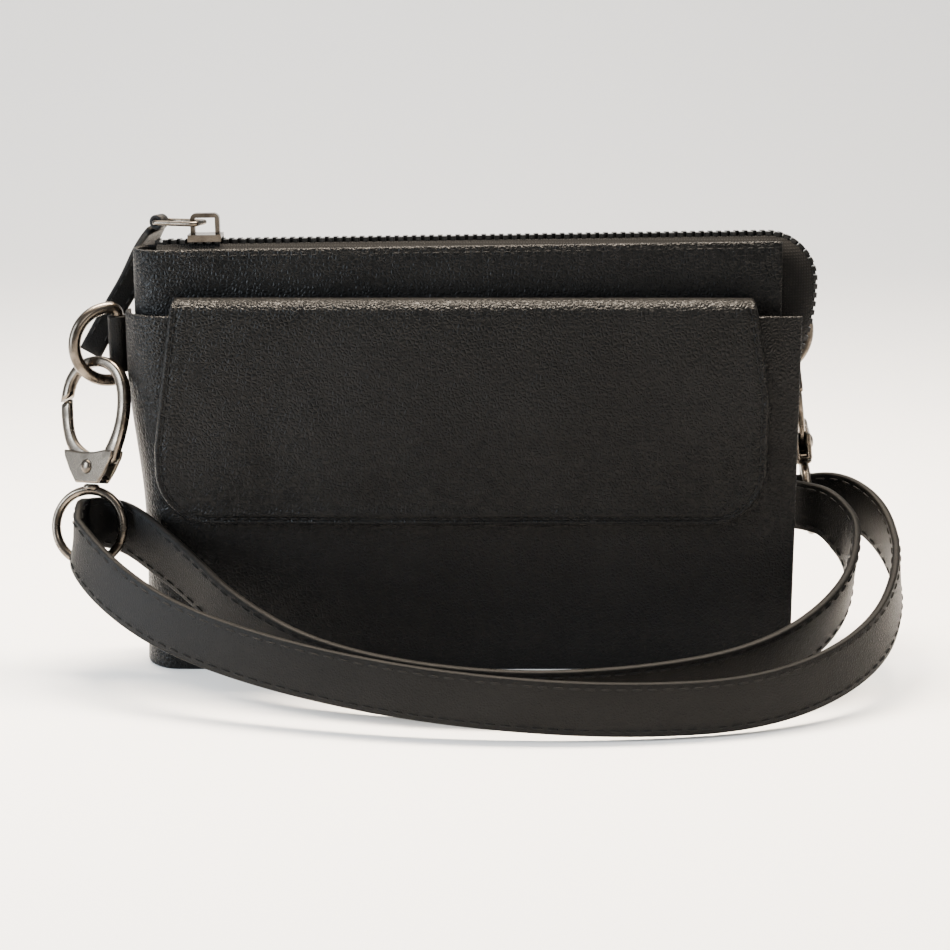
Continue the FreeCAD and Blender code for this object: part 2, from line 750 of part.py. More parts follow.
def make_gate(side):
    """A curved lever from the rivet up the hook's open side to its nose."""
    radius, level, pivot = size("bow_radius"), size("bow_height"), size("rivet_height")
    half = 1.5
    body = doc.addObject("PartDesign::Body", f"{side}_gate_lever")
    heel = 2.7
    tip, slant = level - 0.5, 2.0
    edges = [
        line((-radius - half, tip - slant), (-radius + half, tip)),
        line((-radius + half, tip), (-radius + half + 0.5, tip - 9)),
        line((-radius + half + 0.5, tip - 9), (-5.4, 12.4)),
        line((-5.4, 12.4), polar((0, pivot), heel, 80)),
        arc((0, pivot), heel, 80, -30, -140),
        line(polar((0, pivot), heel, -140), (-8.7, 9.4)),
        line((-8.7, 9.4), (-radius - half + 0.6, tip - 9)),
        line((-radius - half + 0.6, tip - 9), (-radius - half, tip - slant)),
    ]
    pad(body, add_sketch(body, f"{side}_gate_outline", "XZ_Plane", edges), "sizes.gate_depth", midplane=True)
    hole = cylinder(f"{side}_gate_hole", "sizes.rivet_radius + sizes.fit", "sizes.base_depth",
                    Vector(0, -size("base_depth") / 2, pivot), Vector(0, 1, 0))
    return label(cut_away(f"{side}_gate", body, hole), f"{side}_gate")


def make_rivet(side):
    """A pin through the base with a low domed head on each side."""
    pivot, half = size("rivet_height"), size("base_depth") / 2
    pin = cylinder(f"{side}_rivet_pin", "sizes.rivet_radius - 0.01", "sizes.base_depth + 0.2",
                   Vector(0, -half - 0.1, pivot), Vector(0, 1, 0))
    heads = []
    for number, way in enumerate((-1, 1)):
        head = doc.addObject("Part::Cone", f"{side}_rivet_head{number}")
        bind(head, Radius1="sizes.rivet_head", Radius2="sizes.rivet_head * 0.55")
        head.Height = 0.6
        head.Placement = Placement(Vector(0, way * (half + 0.02), pivot), Rotation(Vector(0, 0, 1), Vector(0, way, 0)))
        heads.append(head)
    return label(fuse(f"{side}_gate_rivet", [pin] + heads), f"{side}_gate_rivet")


def make_eye(side, place, turn):
    """A round eye for the strap, with the post that turns in the hook's base."""
    drop = size("eye_radius") + size("eye_wire") + size("post_length") / 4
    ring = doc.addObject("Part::Torus", f"{side}_eye_ring")
    bind(ring, Radius1="sizes.eye_radius", Radius2="sizes.eye_wire")
    plane = Rotation(Vector(0, 0, 1), turn).multiply(Rotation(Vector(1, 0, 0), 90))
    ring.Placement = place.multiply(Placement(Vector(0, 0, -drop), plane))
    post = cylinder(f"{side}_eye_post", "sizes.post_radius", "sizes.post_length",
                    place.multVec(Vector(0, 0, size("eye_radius") - drop)), place.Rotation.multVec(Vector(0, 0, 1)))
    label(fuse(f"{side}_swivel_eye", [ring, post]), f"{side}_swivel_eye")


def make_strap():
    corners = [Vector(*point) for point, lean in STRAP_ROUTE]
    leans = [Vector(lean, 0, 0) for point, lean in STRAP_ROUTE]
    points = smooth_route(corners, STRAP_STEPS, closed=True)
    angles = smooth_route(leans, STRAP_STEPS, closed=True)
    across = []
    for i, angle in enumerate(angles):
        tangent = (points[(i + 1) % len(points)] - points[i - 1]).normalize()
        outward = tangent.cross(Vector(0, 0, 1))
        tilt = math.radians(angle.x)
        across.append(Vector(0, 0, 1) * math.cos(tilt) - outward * math.sin(tilt))
    length = sum((points[i] - points[i - 1]).Length for i in range(len(points)))
    print(f"strap: {length:.1f} mm round")
    new_feature("strap", band(points, across, size("strap_width"), size("strap_depth"), closed=True))


def hook_place(foot, lean_to, turn):
    """Places a hook: its foot, the point that its top leans towards, and its turn about its own length."""
    upright = Rotation(Vector(0, 0, 1), lean_to - foot)
    return Placement(foot, upright.multiply(Rotation(Vector(0, 0, 1), turn)))


LEFT_FOOT = Vector(-118.8, -11.0, 59.3)
LEFT_TOP = Vector(-117.0, -1.4, 97.3)
RIGHT_FOOT = Vector(109.3, 23.6, 59.8)
RIGHT_TOP = Vector(103.9, 23.1, 97.8)

make_wallet_body()
make_pocket()
make_flap()
make_magnets()
make_tapes()
make_teeth()
make_zip_stops()
make_slider()
make_link()
make_leather_pull()
make_dring("left_dring", LEFT_BAR, LEFT_RING_TURN)
make_dring("right_dring", RIGHT_BAR, RIGHT_RING_TURN)
make_tab("left_tab", LEFT_BAR, Vector(-105.3, 2.7, 0))
make_tab("right_tab", RIGHT_BAR, Vector(83.0, 13.4, 0))
left_place = hook_place(LEFT_FOOT, LEFT_TOP, -37)
right_place = hook_place(RIGHT_FOOT, RIGHT_TOP, 85)
make_hook("left", left_place)
make_hook("right", right_place)
make_eye("left", left_place, 23)
make_eye("right", right_place, 0)
make_strap()

doc.recompute()

for item in doc.Objects:
    faults = [state for state in item.State if state in ("Invalid", "Error")]
    if faults:
        raise RuntimeError(f"{item.Label}: {faults}")

os.makedirs("parts", exist_ok=True)
for item in NODES:
    if item.Shape.isNull() or not item.Shape.isValid():
        raise RuntimeError(f"{item.Label}: its shape is not valid")
    item.Shape.exportStep(f"parts/{item.Label}.step")
print(f"{len(NODES)} sub-parts")
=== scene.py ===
import math

import bpy
import numpy as np
from mathutils import Matrix, Quaternion, Vector, noise


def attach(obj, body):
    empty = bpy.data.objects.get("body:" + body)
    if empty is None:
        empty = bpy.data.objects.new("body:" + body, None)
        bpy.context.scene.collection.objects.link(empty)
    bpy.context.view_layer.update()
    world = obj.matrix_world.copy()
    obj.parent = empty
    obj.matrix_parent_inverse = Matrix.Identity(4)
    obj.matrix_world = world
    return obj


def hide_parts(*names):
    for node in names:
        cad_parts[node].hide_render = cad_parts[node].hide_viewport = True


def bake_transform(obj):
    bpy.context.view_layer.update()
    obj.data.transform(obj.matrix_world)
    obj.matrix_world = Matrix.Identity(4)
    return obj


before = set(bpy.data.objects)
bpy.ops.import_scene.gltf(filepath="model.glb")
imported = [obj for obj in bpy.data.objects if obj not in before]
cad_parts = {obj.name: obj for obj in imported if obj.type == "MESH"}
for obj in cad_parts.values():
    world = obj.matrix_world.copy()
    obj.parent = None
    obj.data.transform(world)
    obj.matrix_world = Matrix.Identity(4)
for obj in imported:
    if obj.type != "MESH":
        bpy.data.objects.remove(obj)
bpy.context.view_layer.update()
MM = 0.001

# Camera: a long lens, 650 mm from a point in the middle of the wallet and a little above it.

TARGET = Vector((1.2, -17.0, 63.4)) * MM
ELEVATION = math.radians(13.5)
DISTANCE = 0.650
camera_data = bpy.data.cameras.new("camera")
camera_data.lens = 79.46
camera_data.sensor_width = 36
camera_data.clip_start = 0.01
camera = bpy.data.objects.new("camera", camera_data)
camera.location = TARGET + DISTANCE * Vector((0, -math.cos(ELEVATION), math.sin(ELEVATION)))
camera.rotation_euler = (math.pi / 2 - ELEVATION, 0, 0)
bpy.context.collection.objects.link(camera)
bpy.context.scene.camera = camera

# Sizes of the object in millimetres, the same as in the CAD model.

LEFT, RIGHT = -105.0, 95.5
HALF_BASE, HALF_SHOULDER, HALF_TOP = 11.4, 10.6, 7.6
SHOULDER, TOP = 113.0, 133.6
ZIP_SLOPE = math.radians(0.84)
TOP_RISE = math.tan(ZIP_SLOPE)
LEATHER, LINING = 1.4, 0.5
POCKET_FRONT, POCKET_RIGHT, POCKET_RADIUS, POCKET_TOP, POCKET_LEATHER = 17.0, 101.0, 14.3, 113.0, 1.3
POCKET_CENTRE = (-93.2, -2.7)
FLAP_BACK, FLAP_HEIGHT, FLAP_ROLL, FLAP_DEPTH, FLAP_BOTTOM = -16.4, 114.1, 3.9, 2.3, 48.3
FLAP_SEAM, FLAP_CORNER = -10.6, 17.0
RING_WIRE, RING_RADIUS, RING_STRAIGHT, RING_HEIGHT = 1.9, 11.5, 3.0, 101.4
LEFT_BAR, RIGHT_BAR = Vector((-111.0, 2.5, 0)), Vector((95.9, 19.1, 0))
LEFT_ROOT, RIGHT_ROOT = Vector((-105.3, 2.7, 0)), Vector((83.0, 13.4, 0))
TAB_HEIGHT, TAB_SKIN, TAB_DEPTH = 17.6, 1.15, 2.6
EYE_RADIUS, EYE_WIRE, EYE_DROP = 11.3, 1.45, 13.5
STRAP_WIDTH, STRAP_DEPTH = 16.0, 2.6
PULL_WIDTH, PULL_DEPTH = 7.4, 2.4

# The strap's route: corners of its smooth curve and how far its upper edge leans over, in degrees.

STRAP_ROUTE = [
    ((-122.2, -17.5, 47.0), 4), ((-121.9, -25.5, 42.5), 8), ((-108.0, -40.0, 32.5), 12),
    ((-87.0, -54.0, 24.0), 8), ((-52.0, -68.0, 17.0), 6), ((-8.0, -79.0, 12.0), 5),
    ((42.0, -81.0, 8.8), 5), ((88.0, -73.0, 8.8), 6), ((121.0, -50.0, 16.5), 8),
    ((134.5, -21.0, 29.0), 6), ((133.0, 3.0, 41.5), 3), ((122.0, 18.0, 48.4), 0),
    ((109.0, 22.8, 46.2), 0), ((102.0, 19.0, 46.0), 0), ((102.6, 13.6, 46.4), 0),
    ((106.5, 7.6, 47.6), 0), ((115.0, 0.0, 47.0), 3), ((121.5, -13.0, 37.5), 7),
    ((113.0, -35.0, 24.0), 8), ((87.0, -54.0, 12.6), 7), ((45.0, -65.0, 8.6), 5),
    ((0.0, -67.0, 8.6), 5), ((-45.0, -56.0, 13.5), 6), ((-72.0, -40.0, 24.0), 9),
    ((-88.0, -27.5, 35.0), 5), ((-99.0, -19.8, 41.5), -2), ((-105.5, -14.4, 44.5), -7),
    ((-111.0, -9.9, 45.6), -9), ((-117.0, -7.6, 46.0), -5), ((-121.2, -9.0, 45.8), 0),
    ((-122.2, -12.6, 46.7), 2),
]
PULL_ROUTE = [
    ((-98.4, 7.1, 137.6), (0.37, 0.93, 0)), ((-102.8, 14.6, 132.0), (0.75, 0.66, 0)),
    ((-108.0, 16.0, 120.0), (0.92, 0.2, -0.3)), ((-115.5, 14.6, 108.0), (0.88, 0.1, -0.47)),
    ((-121.8, 12.0, 96.6), (0.88, 0.0, -0.47)),
]

# Materials. Grain drift is the share of noise mixed into the cells' places, for each millimetre of a cell.

GRAIN_DRIFT = 0.0006
TONE_SIZE = 26 * MM


class Nodes:
    """A material's node tree, built link by link."""

    def __init__(self, name):
        self.material = bpy.data.materials.new(name)
        self.material.use_nodes = True
        self.tree = self.material.node_tree
        self.shader = self.tree.nodes["Principled BSDF"]

    def add(self, kind, links=(), **values):
        node = self.tree.nodes.new(kind)
        for name, value in values.items():
            if hasattr(node, name):
                setattr(node, name, value)
            else:
                node.inputs[name].default_value = value
        for socket, source in dict(links).items():
            self.tree.links.new(source, node.inputs[socket])
        return node

    def set(self, **values):
        for name, value in values.items():
            self.shader.inputs[name.replace("_", " ")].default_value = value

    def link(self, socket, source):
        self.tree.links.new(source, self.shader.inputs[socket])

    def ramp(self, source, low, high, dark, light):
        """A grey or coloured ramp from dark to light between two values of the source."""
        ramp = self.add("ShaderNodeValToRGB", {"Fac": source})
        for element, position, colour in zip(ramp.color_ramp.elements, (low, high), (dark, light)):
            element.position = position
            element.color = (*colour, 1)
        return ramp.outputs["Color"]

    def place(self):
        return self.add("ShaderNodeTexCoord").outputs["Object"]


def grey(value):
    return (value, value, value)


def make_leather(name, cell, height, dark, light, rough, sheen=0.0):
    """Pebbled leather: rounded cells with creases between them, and a fine pore pattern."""
    n = Nodes(name)
    place = n.place()
    drift = n.add("ShaderNodeTexNoise", {"Vector": place}, Scale=1 / (cell * 3 * MM), Detail=2.0)
    mixed = n.add("ShaderNodeMix", {6: place, 7: drift.outputs["Color"]}, data_type="RGBA")
    mixed.inputs[0].default_value = cell * GRAIN_DRIFT
    cells = n.add("ShaderNodeTexVoronoi", {"Vector": mixed.outputs[2]}, feature="DISTANCE_TO_EDGE",
                  Scale=1 / (cell * MM))
    pores = n.add("ShaderNodeTexNoise", {"Vector": place}, Scale=1 / (cell * 0.35 * MM), Detail=4.0)
    broad = n.add("ShaderNodeTexNoise", {"Vector": place}, Scale=1 / TONE_SIZE, Detail=3.0)
    crease = n.ramp(cells.outputs["Distance"], 0.0, 0.32, grey(0), grey(1))
    small = n.add("ShaderNodeBump", {"Height": pores.outputs["Fac"]}, Strength=0.35, Distance=height * 0.5 * MM)
    grain = n.add("ShaderNodeBump", {"Height": crease, "Normal": small.outputs["Normal"]}, Strength=0.85,
                  Distance=height * MM)
    n.link("Normal", grain.outputs["Normal"])
    n.link("Base Color", n.ramp(broad.outputs["Fac"], 0.3, 0.75, dark, light))
    n.link("Roughness", n.ramp(pores.outputs["Fac"], 0.3, 0.7, grey(rough - 0.07), grey(rough + 0.1)))
    n.set(Specular_IOR_Level=0.10, Sheen_Weight=sheen)
    return n.material


def make_edge(name, colour):
    """Cut or painted leather edge, with its fibres showing faintly."""
    n = Nodes(name)
    fibre = n.add("ShaderNodeTexNoise", {"Vector": n.place()}, Scale=900.0, Detail=5.0)
    bump = n.add("ShaderNodeBump", {"Height": fibre.outputs["Fac"]}, Strength=0.5, Distance=0.15 * MM)
    n.link("Normal", bump.outputs["Normal"])
    dark, light = [c * 0.6 for c in colour], [c * 1.5 for c in colour]
    n.link("Base Color", n.ramp(fibre.outputs["Fac"], 0.35, 0.7, dark, light))
    n.set(Roughness=0.6, Specular_IOR_Level=0.08)
    return n.material


def make_fabric(name, pitch, dark, light):
    """Woven fabric: two crossed sets of ribs."""
    n = Nodes(name)
    place = n.place()
    ribs = []
    for way in ("X", "Z"):
        ribs.append(n.add("ShaderNodeTexWave", {"Vector": place}, bands_direction=way,
                          Scale=0.32 / (pitch * MM), Distortion=0.6))
    both = n.add("ShaderNodeMath", {0: ribs[0].outputs["Fac"], 1: ribs[1].outputs["Fac"]}, operation="MULTIPLY")
    bump = n.add("ShaderNodeBump", {"Height": both.outputs[0]}, Strength=0.7, Distance=0.2 * MM)
    n.link("Normal", bump.outputs["Normal"])
    n.link("Base Color", n.ramp(both.outputs[0], 0.0, 0.8, dark, light))
    n.set(Roughness=0.9, Specular_IOR_Level=0.1)
    return n.material


def make_metal(name, dark, light, rough):
    """Antique plated metal: cloudy tarnish and small pits."""
    n = Nodes(name)
    place = n.place()
    cloud = n.add("ShaderNodeTexNoise", {"Vector": place}, Scale=180.0, Detail=6.0)
    pits = n.add("ShaderNodeTexNoise", {"Vector": place}, Scale=1500.0, Detail=3.0)
    bump = n.add("ShaderNodeBump", {"Height": pits.outputs["Fac"]}, Strength=0.25, Distance=0.06 * MM)
    n.link("Normal", bump.outputs["Normal"])
    n.link("Base Color", n.ramp(cloud.outputs["Fac"], 0.35, 0.65, dark, light))
    n.link("Roughness", n.ramp(cloud.outputs["Fac"], 0.3, 0.7, grey(rough + 0.14), grey(rough)))
    n.set(Metallic=1.0)
    return n.material


def make_thread(name, dark, light):
    """Waxed thread with its twist."""
    n = Nodes(name)
    twist = n.add("ShaderNodeTexWave", {"Vector": n.place()}, bands_direction="DIAGONAL", Scale=900.0,
                  Distortion=1.0)
    bump = n.add("ShaderNodeBump", {"Height": twist.outputs["Fac"]}, Strength=0.4, Distance=0.08 * MM)
    n.link("Normal", bump.outputs["Normal"])
    n.link("Base Color", n.ramp(twist.outputs["Fac"], 0.2, 0.8, dark, light))
    n.set(Roughness=0.75, Specular_IOR_Level=0.15)
    return n.material


LEATHER_BODY = make_leather("pebbled_leather", 1.2, 0.22, grey(0.002), grey(0.004), 0.38)
LEATHER_STRAP = make_leather("strap_leather", 0.8, 0.08, grey(0.002), grey(0.004), 0.46)
LEATHER_BACK = make_leather("suede_back", 0.5, 0.06, (0.006, 0.0055, 0.005), (0.012, 0.011, 0.01), 0.85,
                            sheen=0.1)
EDGE_LIGHT = make_edge("cut_edge", (0.022, 0.020, 0.018))
EDGE_DARK = make_edge("painted_edge", (0.004, 0.0039, 0.0037))
LINING_CLOTH = make_fabric("lining_cloth", 0.7, grey(0.012), grey(0.028))
TAPE_CLOTH = make_fabric("tape_cloth", 0.9, grey(0.002), grey(0.006))
GUNMETAL = make_metal("gunmetal", (0.045, 0.038, 0.031), (0.14, 0.118, 0.095), 0.20)
BLACK_METAL = make_metal("black_metal", grey(0.012), grey(0.03), 0.3)
THREAD = make_thread("thread", grey(0.0015), grey(0.006))

# Mesh helpers, all in millimetres. The stitch rings are (place along, thickness, lift), as shares.

EDGE_PLACES = (0.0, 0.25, 0.6, 1.1, 1.8, 2.6, 3.6)
EDGE_TURNS = (60, 30, 0, -30, -60)
STITCH_SIDES = 6
STITCH_SHARE = 0.72
STITCH_RINGS = ((-0.5, 0.35, -0.35), (-0.36, 0.85, 0.0), (0.0, 1.0, 0.12), (0.36, 0.85, 0.0),
                (0.5, 0.35, -0.35))


def make_object(name, points, faces, materials, indices=None, smooth=True):
    mesh = bpy.data.meshes.new(name)
    corners = [tuple(p) for p in np.asarray(points) * MM]
    mesh.from_pydata(corners, [], [tuple(int(i) for i in f) for f in faces])
    for material in materials:
        mesh.materials.append(material)
    if indices is not None:
        mesh.polygons.foreach_set("material_index", [int(i) for i in indices])
    mesh.polygons.foreach_set("use_smooth", [smooth] * len(mesh.polygons))
    mesh.update()
    item = bpy.data.objects.new(name, mesh)
    bpy.context.collection.objects.link(item)
    return item


def add_bevel(item, width, segments=3):
    bevel = item.modifiers.new("bevel", "BEVEL")
    bevel.width = width * MM
    bevel.segments = segments
    bevel.limit_method = "ANGLE"
    bevel.angle_limit = math.radians(35)
    return item


def finish_piece(item, body, slot, *nodes):
    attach(item, body)
    if nodes:
        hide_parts(*nodes)
    return item


def normals_of(grid):
    """Unit normals of a grid of points, from its rows and columns."""
    across = np.gradient(grid, axis=0)
    along = np.gradient(grid, axis=1)
    normals = np.cross(along, across)
    return normals / np.maximum(np.linalg.norm(normals, axis=2, keepdims=True), 1e-9)


def wrinkle(point, amount, scale, seed=0.0):
    """Height of soft uneven leather at a point."""
    at = Vector(point) / scale + Vector((seed, seed, seed))
    return amount * (noise.noise(at) + 0.5 * noise.noise(at * 2.3))


def rounding(distance, radius):
    """How much of its full thickness a sheet has, a distance in from its edge."""
    k = min(max(distance / radius, 0.0), 1.0)
    return math.sqrt(max(1 - (1 - k) ** 2, 0.0))


def edge_steps(length, step):
    """Places along a length: close together near both ends, and about a step apart between."""
    start, end = EDGE_PLACES[-1], length - EDGE_PLACES[-1]
    middle = np.linspace(start, end, max(2, int((end - start) / step)))
    return np.concatenate([np.array(EDGE_PLACES[:-1]), middle, length - np.array(EDGE_PLACES[-2::-1])])


def panel(name, outside, depth, edge_distance, materials, bulge=None):
    """A sheet of leather below a grid of outside points, with rounded edges: outside, inside and rim faces."""
    rows, columns = outside.shape[:2]
    normals = normals_of(outside)
    points = []
    for side in (0, 1):
        for i in range(rows):
            for j in range(columns):
                full = rounding(edge_distance[i][j], depth / 2)
                sunk = depth * (0.5 - 0.5 * full) if side == 0 else depth * (0.5 + 0.5 * full)
                lift = bulge[i][j] if bulge is not None and side == 0 else 0.0
                points.append(outside[i][j] - normals[i][j] * (sunk - lift))
    count = rows * columns
    faces, indices = [], []
    for i in range(rows - 1):
        for j in range(columns - 1):
            a, b = i * columns + j, i * columns + j + 1
            c, d = b + columns, a + columns
            faces.append((a, b, c, d))
            faces.append((count + a, count + d, count + c, count + b))
            indices += [0, 1]
    ring = list(range(columns)) + [i * columns + columns - 1 for i in range(1, rows)]
    ring += [(rows - 1) * columns + j for j in range(columns - 2, -1, -1)]
    ring += [i * columns for i in range(rows - 2, 0, -1)]
    for k, a in enumerate(ring):
        b = ring[(k + 1) % len(ring)]
        faces.append((a, count + a, count + b, b))
        indices.append(2)
    return make_object(name, points, faces, materials, indices)


def tangents_of(points, closed):
    """Unit directions of a route at its points."""
    after = np.roll(points, -1, axis=0)
    before = np.roll(points, 1, axis=0)
    if not closed:
        after[-1], before[0] = points[-1], points[0]
    tangent = after - before
    return tangent / np.linalg.norm(tangent, axis=1, keepdims=True)


def frames_along(points, ways, closed):
    """At each point of a route: the strip's width direction and its flat side's direction."""
    tangent = tangents_of(points, closed)
    wide = ways - tangent * np.sum(ways * tangent, axis=1, keepdims=True)
    wide /= np.linalg.norm(wide, axis=1, keepdims=True)
    return wide, np.cross(tangent, wide)


def smooth_route(corners, steps, closed):
    """Points on the smooth curve whose corners are given: parabolas from middle to middle."""
    corners = [np.array(c, float) for c in corners]
    count = len(corners)
    spans = range(count) if closed else range(1, count - 1)
    points = []
    for i in spans:
        before, corner, after = corners[i - 1], corners[i], corners[(i + 1) % count]
        start = (before + corner) / 2 if closed or i > 1 else before
        end = (corner + after) / 2 if closed or i < count - 2 else after
        for step in range(steps):
            k = step / steps
            points.append(start * (1 - k) ** 2 + corner * (2 * k * (1 - k)) + end * k ** 2)
    return np.array(points if closed else points + [corners[-1]])


def sweep(name, points, first, second, section, closed, materials, indices=None, scale=None):
    """A section of (first, second) places carried along points. indices gives each side's material."""
    section = np.array(section, float)
    rings = []
    for i, point in enumerate(points):
        shape = section if scale is None else section * np.array(scale[i])
        rings.append(point + np.outer(shape[:, 0], first[i]) + np.outer(shape[:, 1], second[i]))
    sides, count = len(section), len(points)
    faces, kinds = [], []
    for i in range(count if closed else count - 1):
        j = (i + 1) % count
        for k in range(sides):
            m = (k + 1) % sides
            faces.append((i * sides + k, i * sides + m, j * sides + m, j * sides + k))
            kinds.append(indices[k] if indices else 0)
    if not closed:
        faces += [tuple(range(sides))[::-1], tuple((count - 1) * sides + k for k in range(sides))]
        kinds += [max(kinds), max(kinds)]
    return make_object(name, np.concatenate(rings), faces, materials, kinds)


def circle(radius, sides=20):
    turns = [2 * math.pi * k / sides for k in range(sides)]
    return [(radius * math.cos(turn), radius * math.sin(turn)) for turn in turns]


def turned_faces(rows, sides):
    """Faces between rows of points that go round an axis."""
    return [(r * sides + k, r * sides + (k + 1) % sides, (r + 1) * sides + (k + 1) % sides, (r + 1) * sides + k)
            for r in range(rows - 1) for k in range(sides)]


def closed_wire(name, points, radius, materials):
    """A round wire along a closed route in the XZ plane."""
    points = np.array(points, float)
    ways = np.tile(np.array((0.0, 1.0, 0.0)), (len(points), 1))
    wide, flat = frames_along(points, ways, True)
    return sweep(name, points, wide, flat, circle(radius), True, materials)


def rounded_strip(width, depth, radius, crown=0.0):
    """Section of a flat strip with rounded edges, and its material per side: 0 on the flats, 1 on the edges."""
    half, thick = width / 2, depth / 2
    places, kinds = [], []
    flats = np.linspace(-half + radius, half - radius, 9)
    for sign in (1, -1):
        for a in sign * flats:
            swell = crown * (1 - (a / half) ** 4)
            places.append((a, sign * (thick - crown + swell)))
            kinds.append(0)
        for angle in EDGE_TURNS:
            turn = math.radians(angle)
            places.append((sign * (half - radius + radius * math.cos(turn)), sign * thick * math.sin(turn)))
            kinds.append(1)
    return places, kinds


def stitch_mesh(name, centres, ways, ups, length, radius):
    """A row of stitches: short threads that lie along ways and sink at both ends."""
    sides, rings = STITCH_SIDES, STITCH_RINGS
    points, faces = [], []
    for centre, way, up in zip(centres, ways, ups):
        side = np.cross(way, up)
        base = len(points)
        for along, thick, lift in rings:
            for k in range(sides):
                turn = 2 * math.pi * k / sides
                ring = side * math.cos(turn) + up * math.sin(turn)
                points.append(centre + way * (along * length) + up * (lift * radius) + ring * (thick * radius))
        for r in range(len(rings) - 1):
            for k in range(sides):
                a, b = base + r * sides + k, base + r * sides + (k + 1) % sides
                faces.append((a, b, b + sides, a + sides))
        faces.append(tuple(base + k for k in range(sides))[::-1])
        faces.append(tuple(base + (len(rings) - 1) * sides + k for k in range(sides)))
    return make_object(name, points, faces, [THREAD])


def stitches_on(name, points, ups, pitch, radius, share=STITCH_SHARE, closed=False):
    """Stitches a pitch apart along a route, each a share of the pitch long."""
    points = np.array(points, float)
    ups = np.array(ups, float)
    if closed:
        points, ups = np.vstack([points, points[:1]]), np.vstack([ups, ups[:1]])
    lengths = np.concatenate([[0], np.cumsum(np.linalg.norm(np.diff(points, axis=0), axis=1))])
    count = max(2, int(lengths[-1] / pitch))
    pitch = lengths[-1] / count
    at = (np.arange(count) + 0.5) * pitch

    def along(values, where):
        return np.stack([np.interp(where, lengths, values[:, k]) for k in range(3)], axis=1)

    ways = along(points, at + 0.3 * pitch) - along(points, at - 0.3 * pitch)
    ways /= np.maximum(np.linalg.norm(ways, axis=1, keepdims=True), 1e-9)
    lifts = along(ups, at)
    lifts /= np.linalg.norm(lifts, axis=1, keepdims=True)
    return stitch_mesh(name, along(points, at), ways, lifts, pitch * share, radius)


# Wallet body. Its left end is a little narrower low down, where the empty wallet falls in: by the waist's
# depth, over the waist's fall below its top, and over its reach from its start to the left end.

WAIST_TOP, WAIST_FALL, WAIST_START, WAIST_REACH, WAIST_DEPTH = 98.0, 52.0, -91.0, 16.0, 4.2
FOOT_SHARE, FOOT_HEIGHT = 0.8, 30.0
LEATHER_STEP, LINING_STEP, BASE_STEP = 2.6, 5.0, 4.0
LINING_GAP, LINING_LOW, LINING_HIGH, LINING_SHORT = 0.35, 1.8, 112.0, 3
WRINKLE_FADE = 20.0
TOP_STITCH_DROP, TOP_STITCH_START, FINE_PITCH = 2.2, -90, 3.1


def waist(x, z):
    """x of a point of the left end, drawn in below the pocket's mouth."""
    low = min(max((WAIST_TOP - z) / WAIST_FALL, 0.0), 1.0)
    low = low * low * (3 - 2 * low) * (FOOT_SHARE + (1 - FOOT_SHARE) * min(z / FOOT_HEIGHT, 1.0))
    left = min(max((WAIST_START - x) / WAIST_REACH, 0.0), 1.0)
    return x + WAIST_DEPTH * low * left


def top_of(x):
    """Height of the leather's sloping top edge."""
    return TOP + x * TOP_RISE


def body_half(z):
    """Half the body's depth at a height: drawn in softly above the shoulder."""
    if z < SHOULDER:
        return HALF_BASE + (HALF_SHOULDER - HALF_BASE) * z / SHOULDER
    k = (z - SHOULDER) / (TOP - SHOULDER)
    return HALF_SHOULDER + (HALF_TOP - HALF_SHOULDER) * (0.55 * k + 0.45 * k ** 3)


def u_route(half, inset, right, step):
    """Plan of a U with its round end at the left: places and distances along it, front first."""
    radius = half - inset
    centre = LEFT + half
    straight = right - centre
    total = 2 * straight + math.pi * radius
    usual = 2 * (right - LEFT)
    along = edge_steps(usual, step) * (total / usual)
    places = []
    for s in along:
        if s < straight:
            places.append((right - s, -radius))
        elif s < straight + math.pi * radius:
            turn = -math.pi / 2 - (s - straight) / radius
            places.append((centre + radius * math.cos(turn), radius * math.sin(turn)))
        else:
            places.append((centre + s - straight - math.pi * radius, radius))
    return places, along, total


def wall(name, depth, inset, low, high, step, materials, amount, right=RIGHT):
    """A U-shaped wall of the wallet between two heights; high is a height, or None for the sloping top."""
    tall = (high or TOP) - low
    heights = edge_steps(tall, step)
    grid, edges = [], []
    for h in heights:
        z = low + h
        half = body_half(z)
        places, along, total = u_route(half, inset, right, step)
        row, border = [], []
        for (x, y), s in zip(places, along):
            height = low + h * ((top_of(x) if high is None else high) - low) / tall
            lift = wrinkle((x, y, height), amount, 30.0, 3.0) * min(1.0, h / WRINKLE_FADE)
            row.append((waist(x, height), y + math.copysign(lift, y) * min(1, abs(y) / half), height))
            border.append(min(h, tall - h, s, total - s))
        grid.append(row)
        edges.append(border)
    grid = np.array(grid).transpose(1, 0, 2)
    return panel(name, grid, depth, np.array(edges).T, materials)


def plate(name, route, low, depth, materials):
    """A flat plate over a closed plan."""
    points = [(waist(x, low), y, z) for z in (low, low + depth) for x, y in route]
    count = len(route)
    faces = [tuple(range(count))[::-1], tuple(range(count, 2 * count))]
    faces += [(k, (k + 1) % count, count + (k + 1) % count, count + k) for k in range(count)]
    return add_bevel(make_object(name, points, faces, materials, smooth=False), 0.3)


body_skin = wall("body_leather", LEATHER, 0.0, 0.0, None, LEATHER_STEP,
                 [LEATHER_BODY, LINING_CLOTH, EDGE_DARK], amount=0.35)
finish_piece(body_skin, "wallet", "outer_leather", "body_wrap")
lining = wall("compartment_lining", LINING, LEATHER + LINING_GAP, LINING_LOW, LINING_HIGH, LINING_STEP,
              [LINING_CLOTH] * 3, amount=0.2, right=RIGHT - LINING_SHORT)
finish_piece(lining, "wallet", "lining_fabric", "body_lining")
plan = u_route(HALF_BASE, LEATHER + 0.1, RIGHT, BASE_STEP)[0]
finish_piece(plate("base_leather", plan, 0.0, LEATHER, [LEATHER_BODY]), "wallet", "outer_leather", "base_panel")

# Stitches along the front and the back, below the top edge.

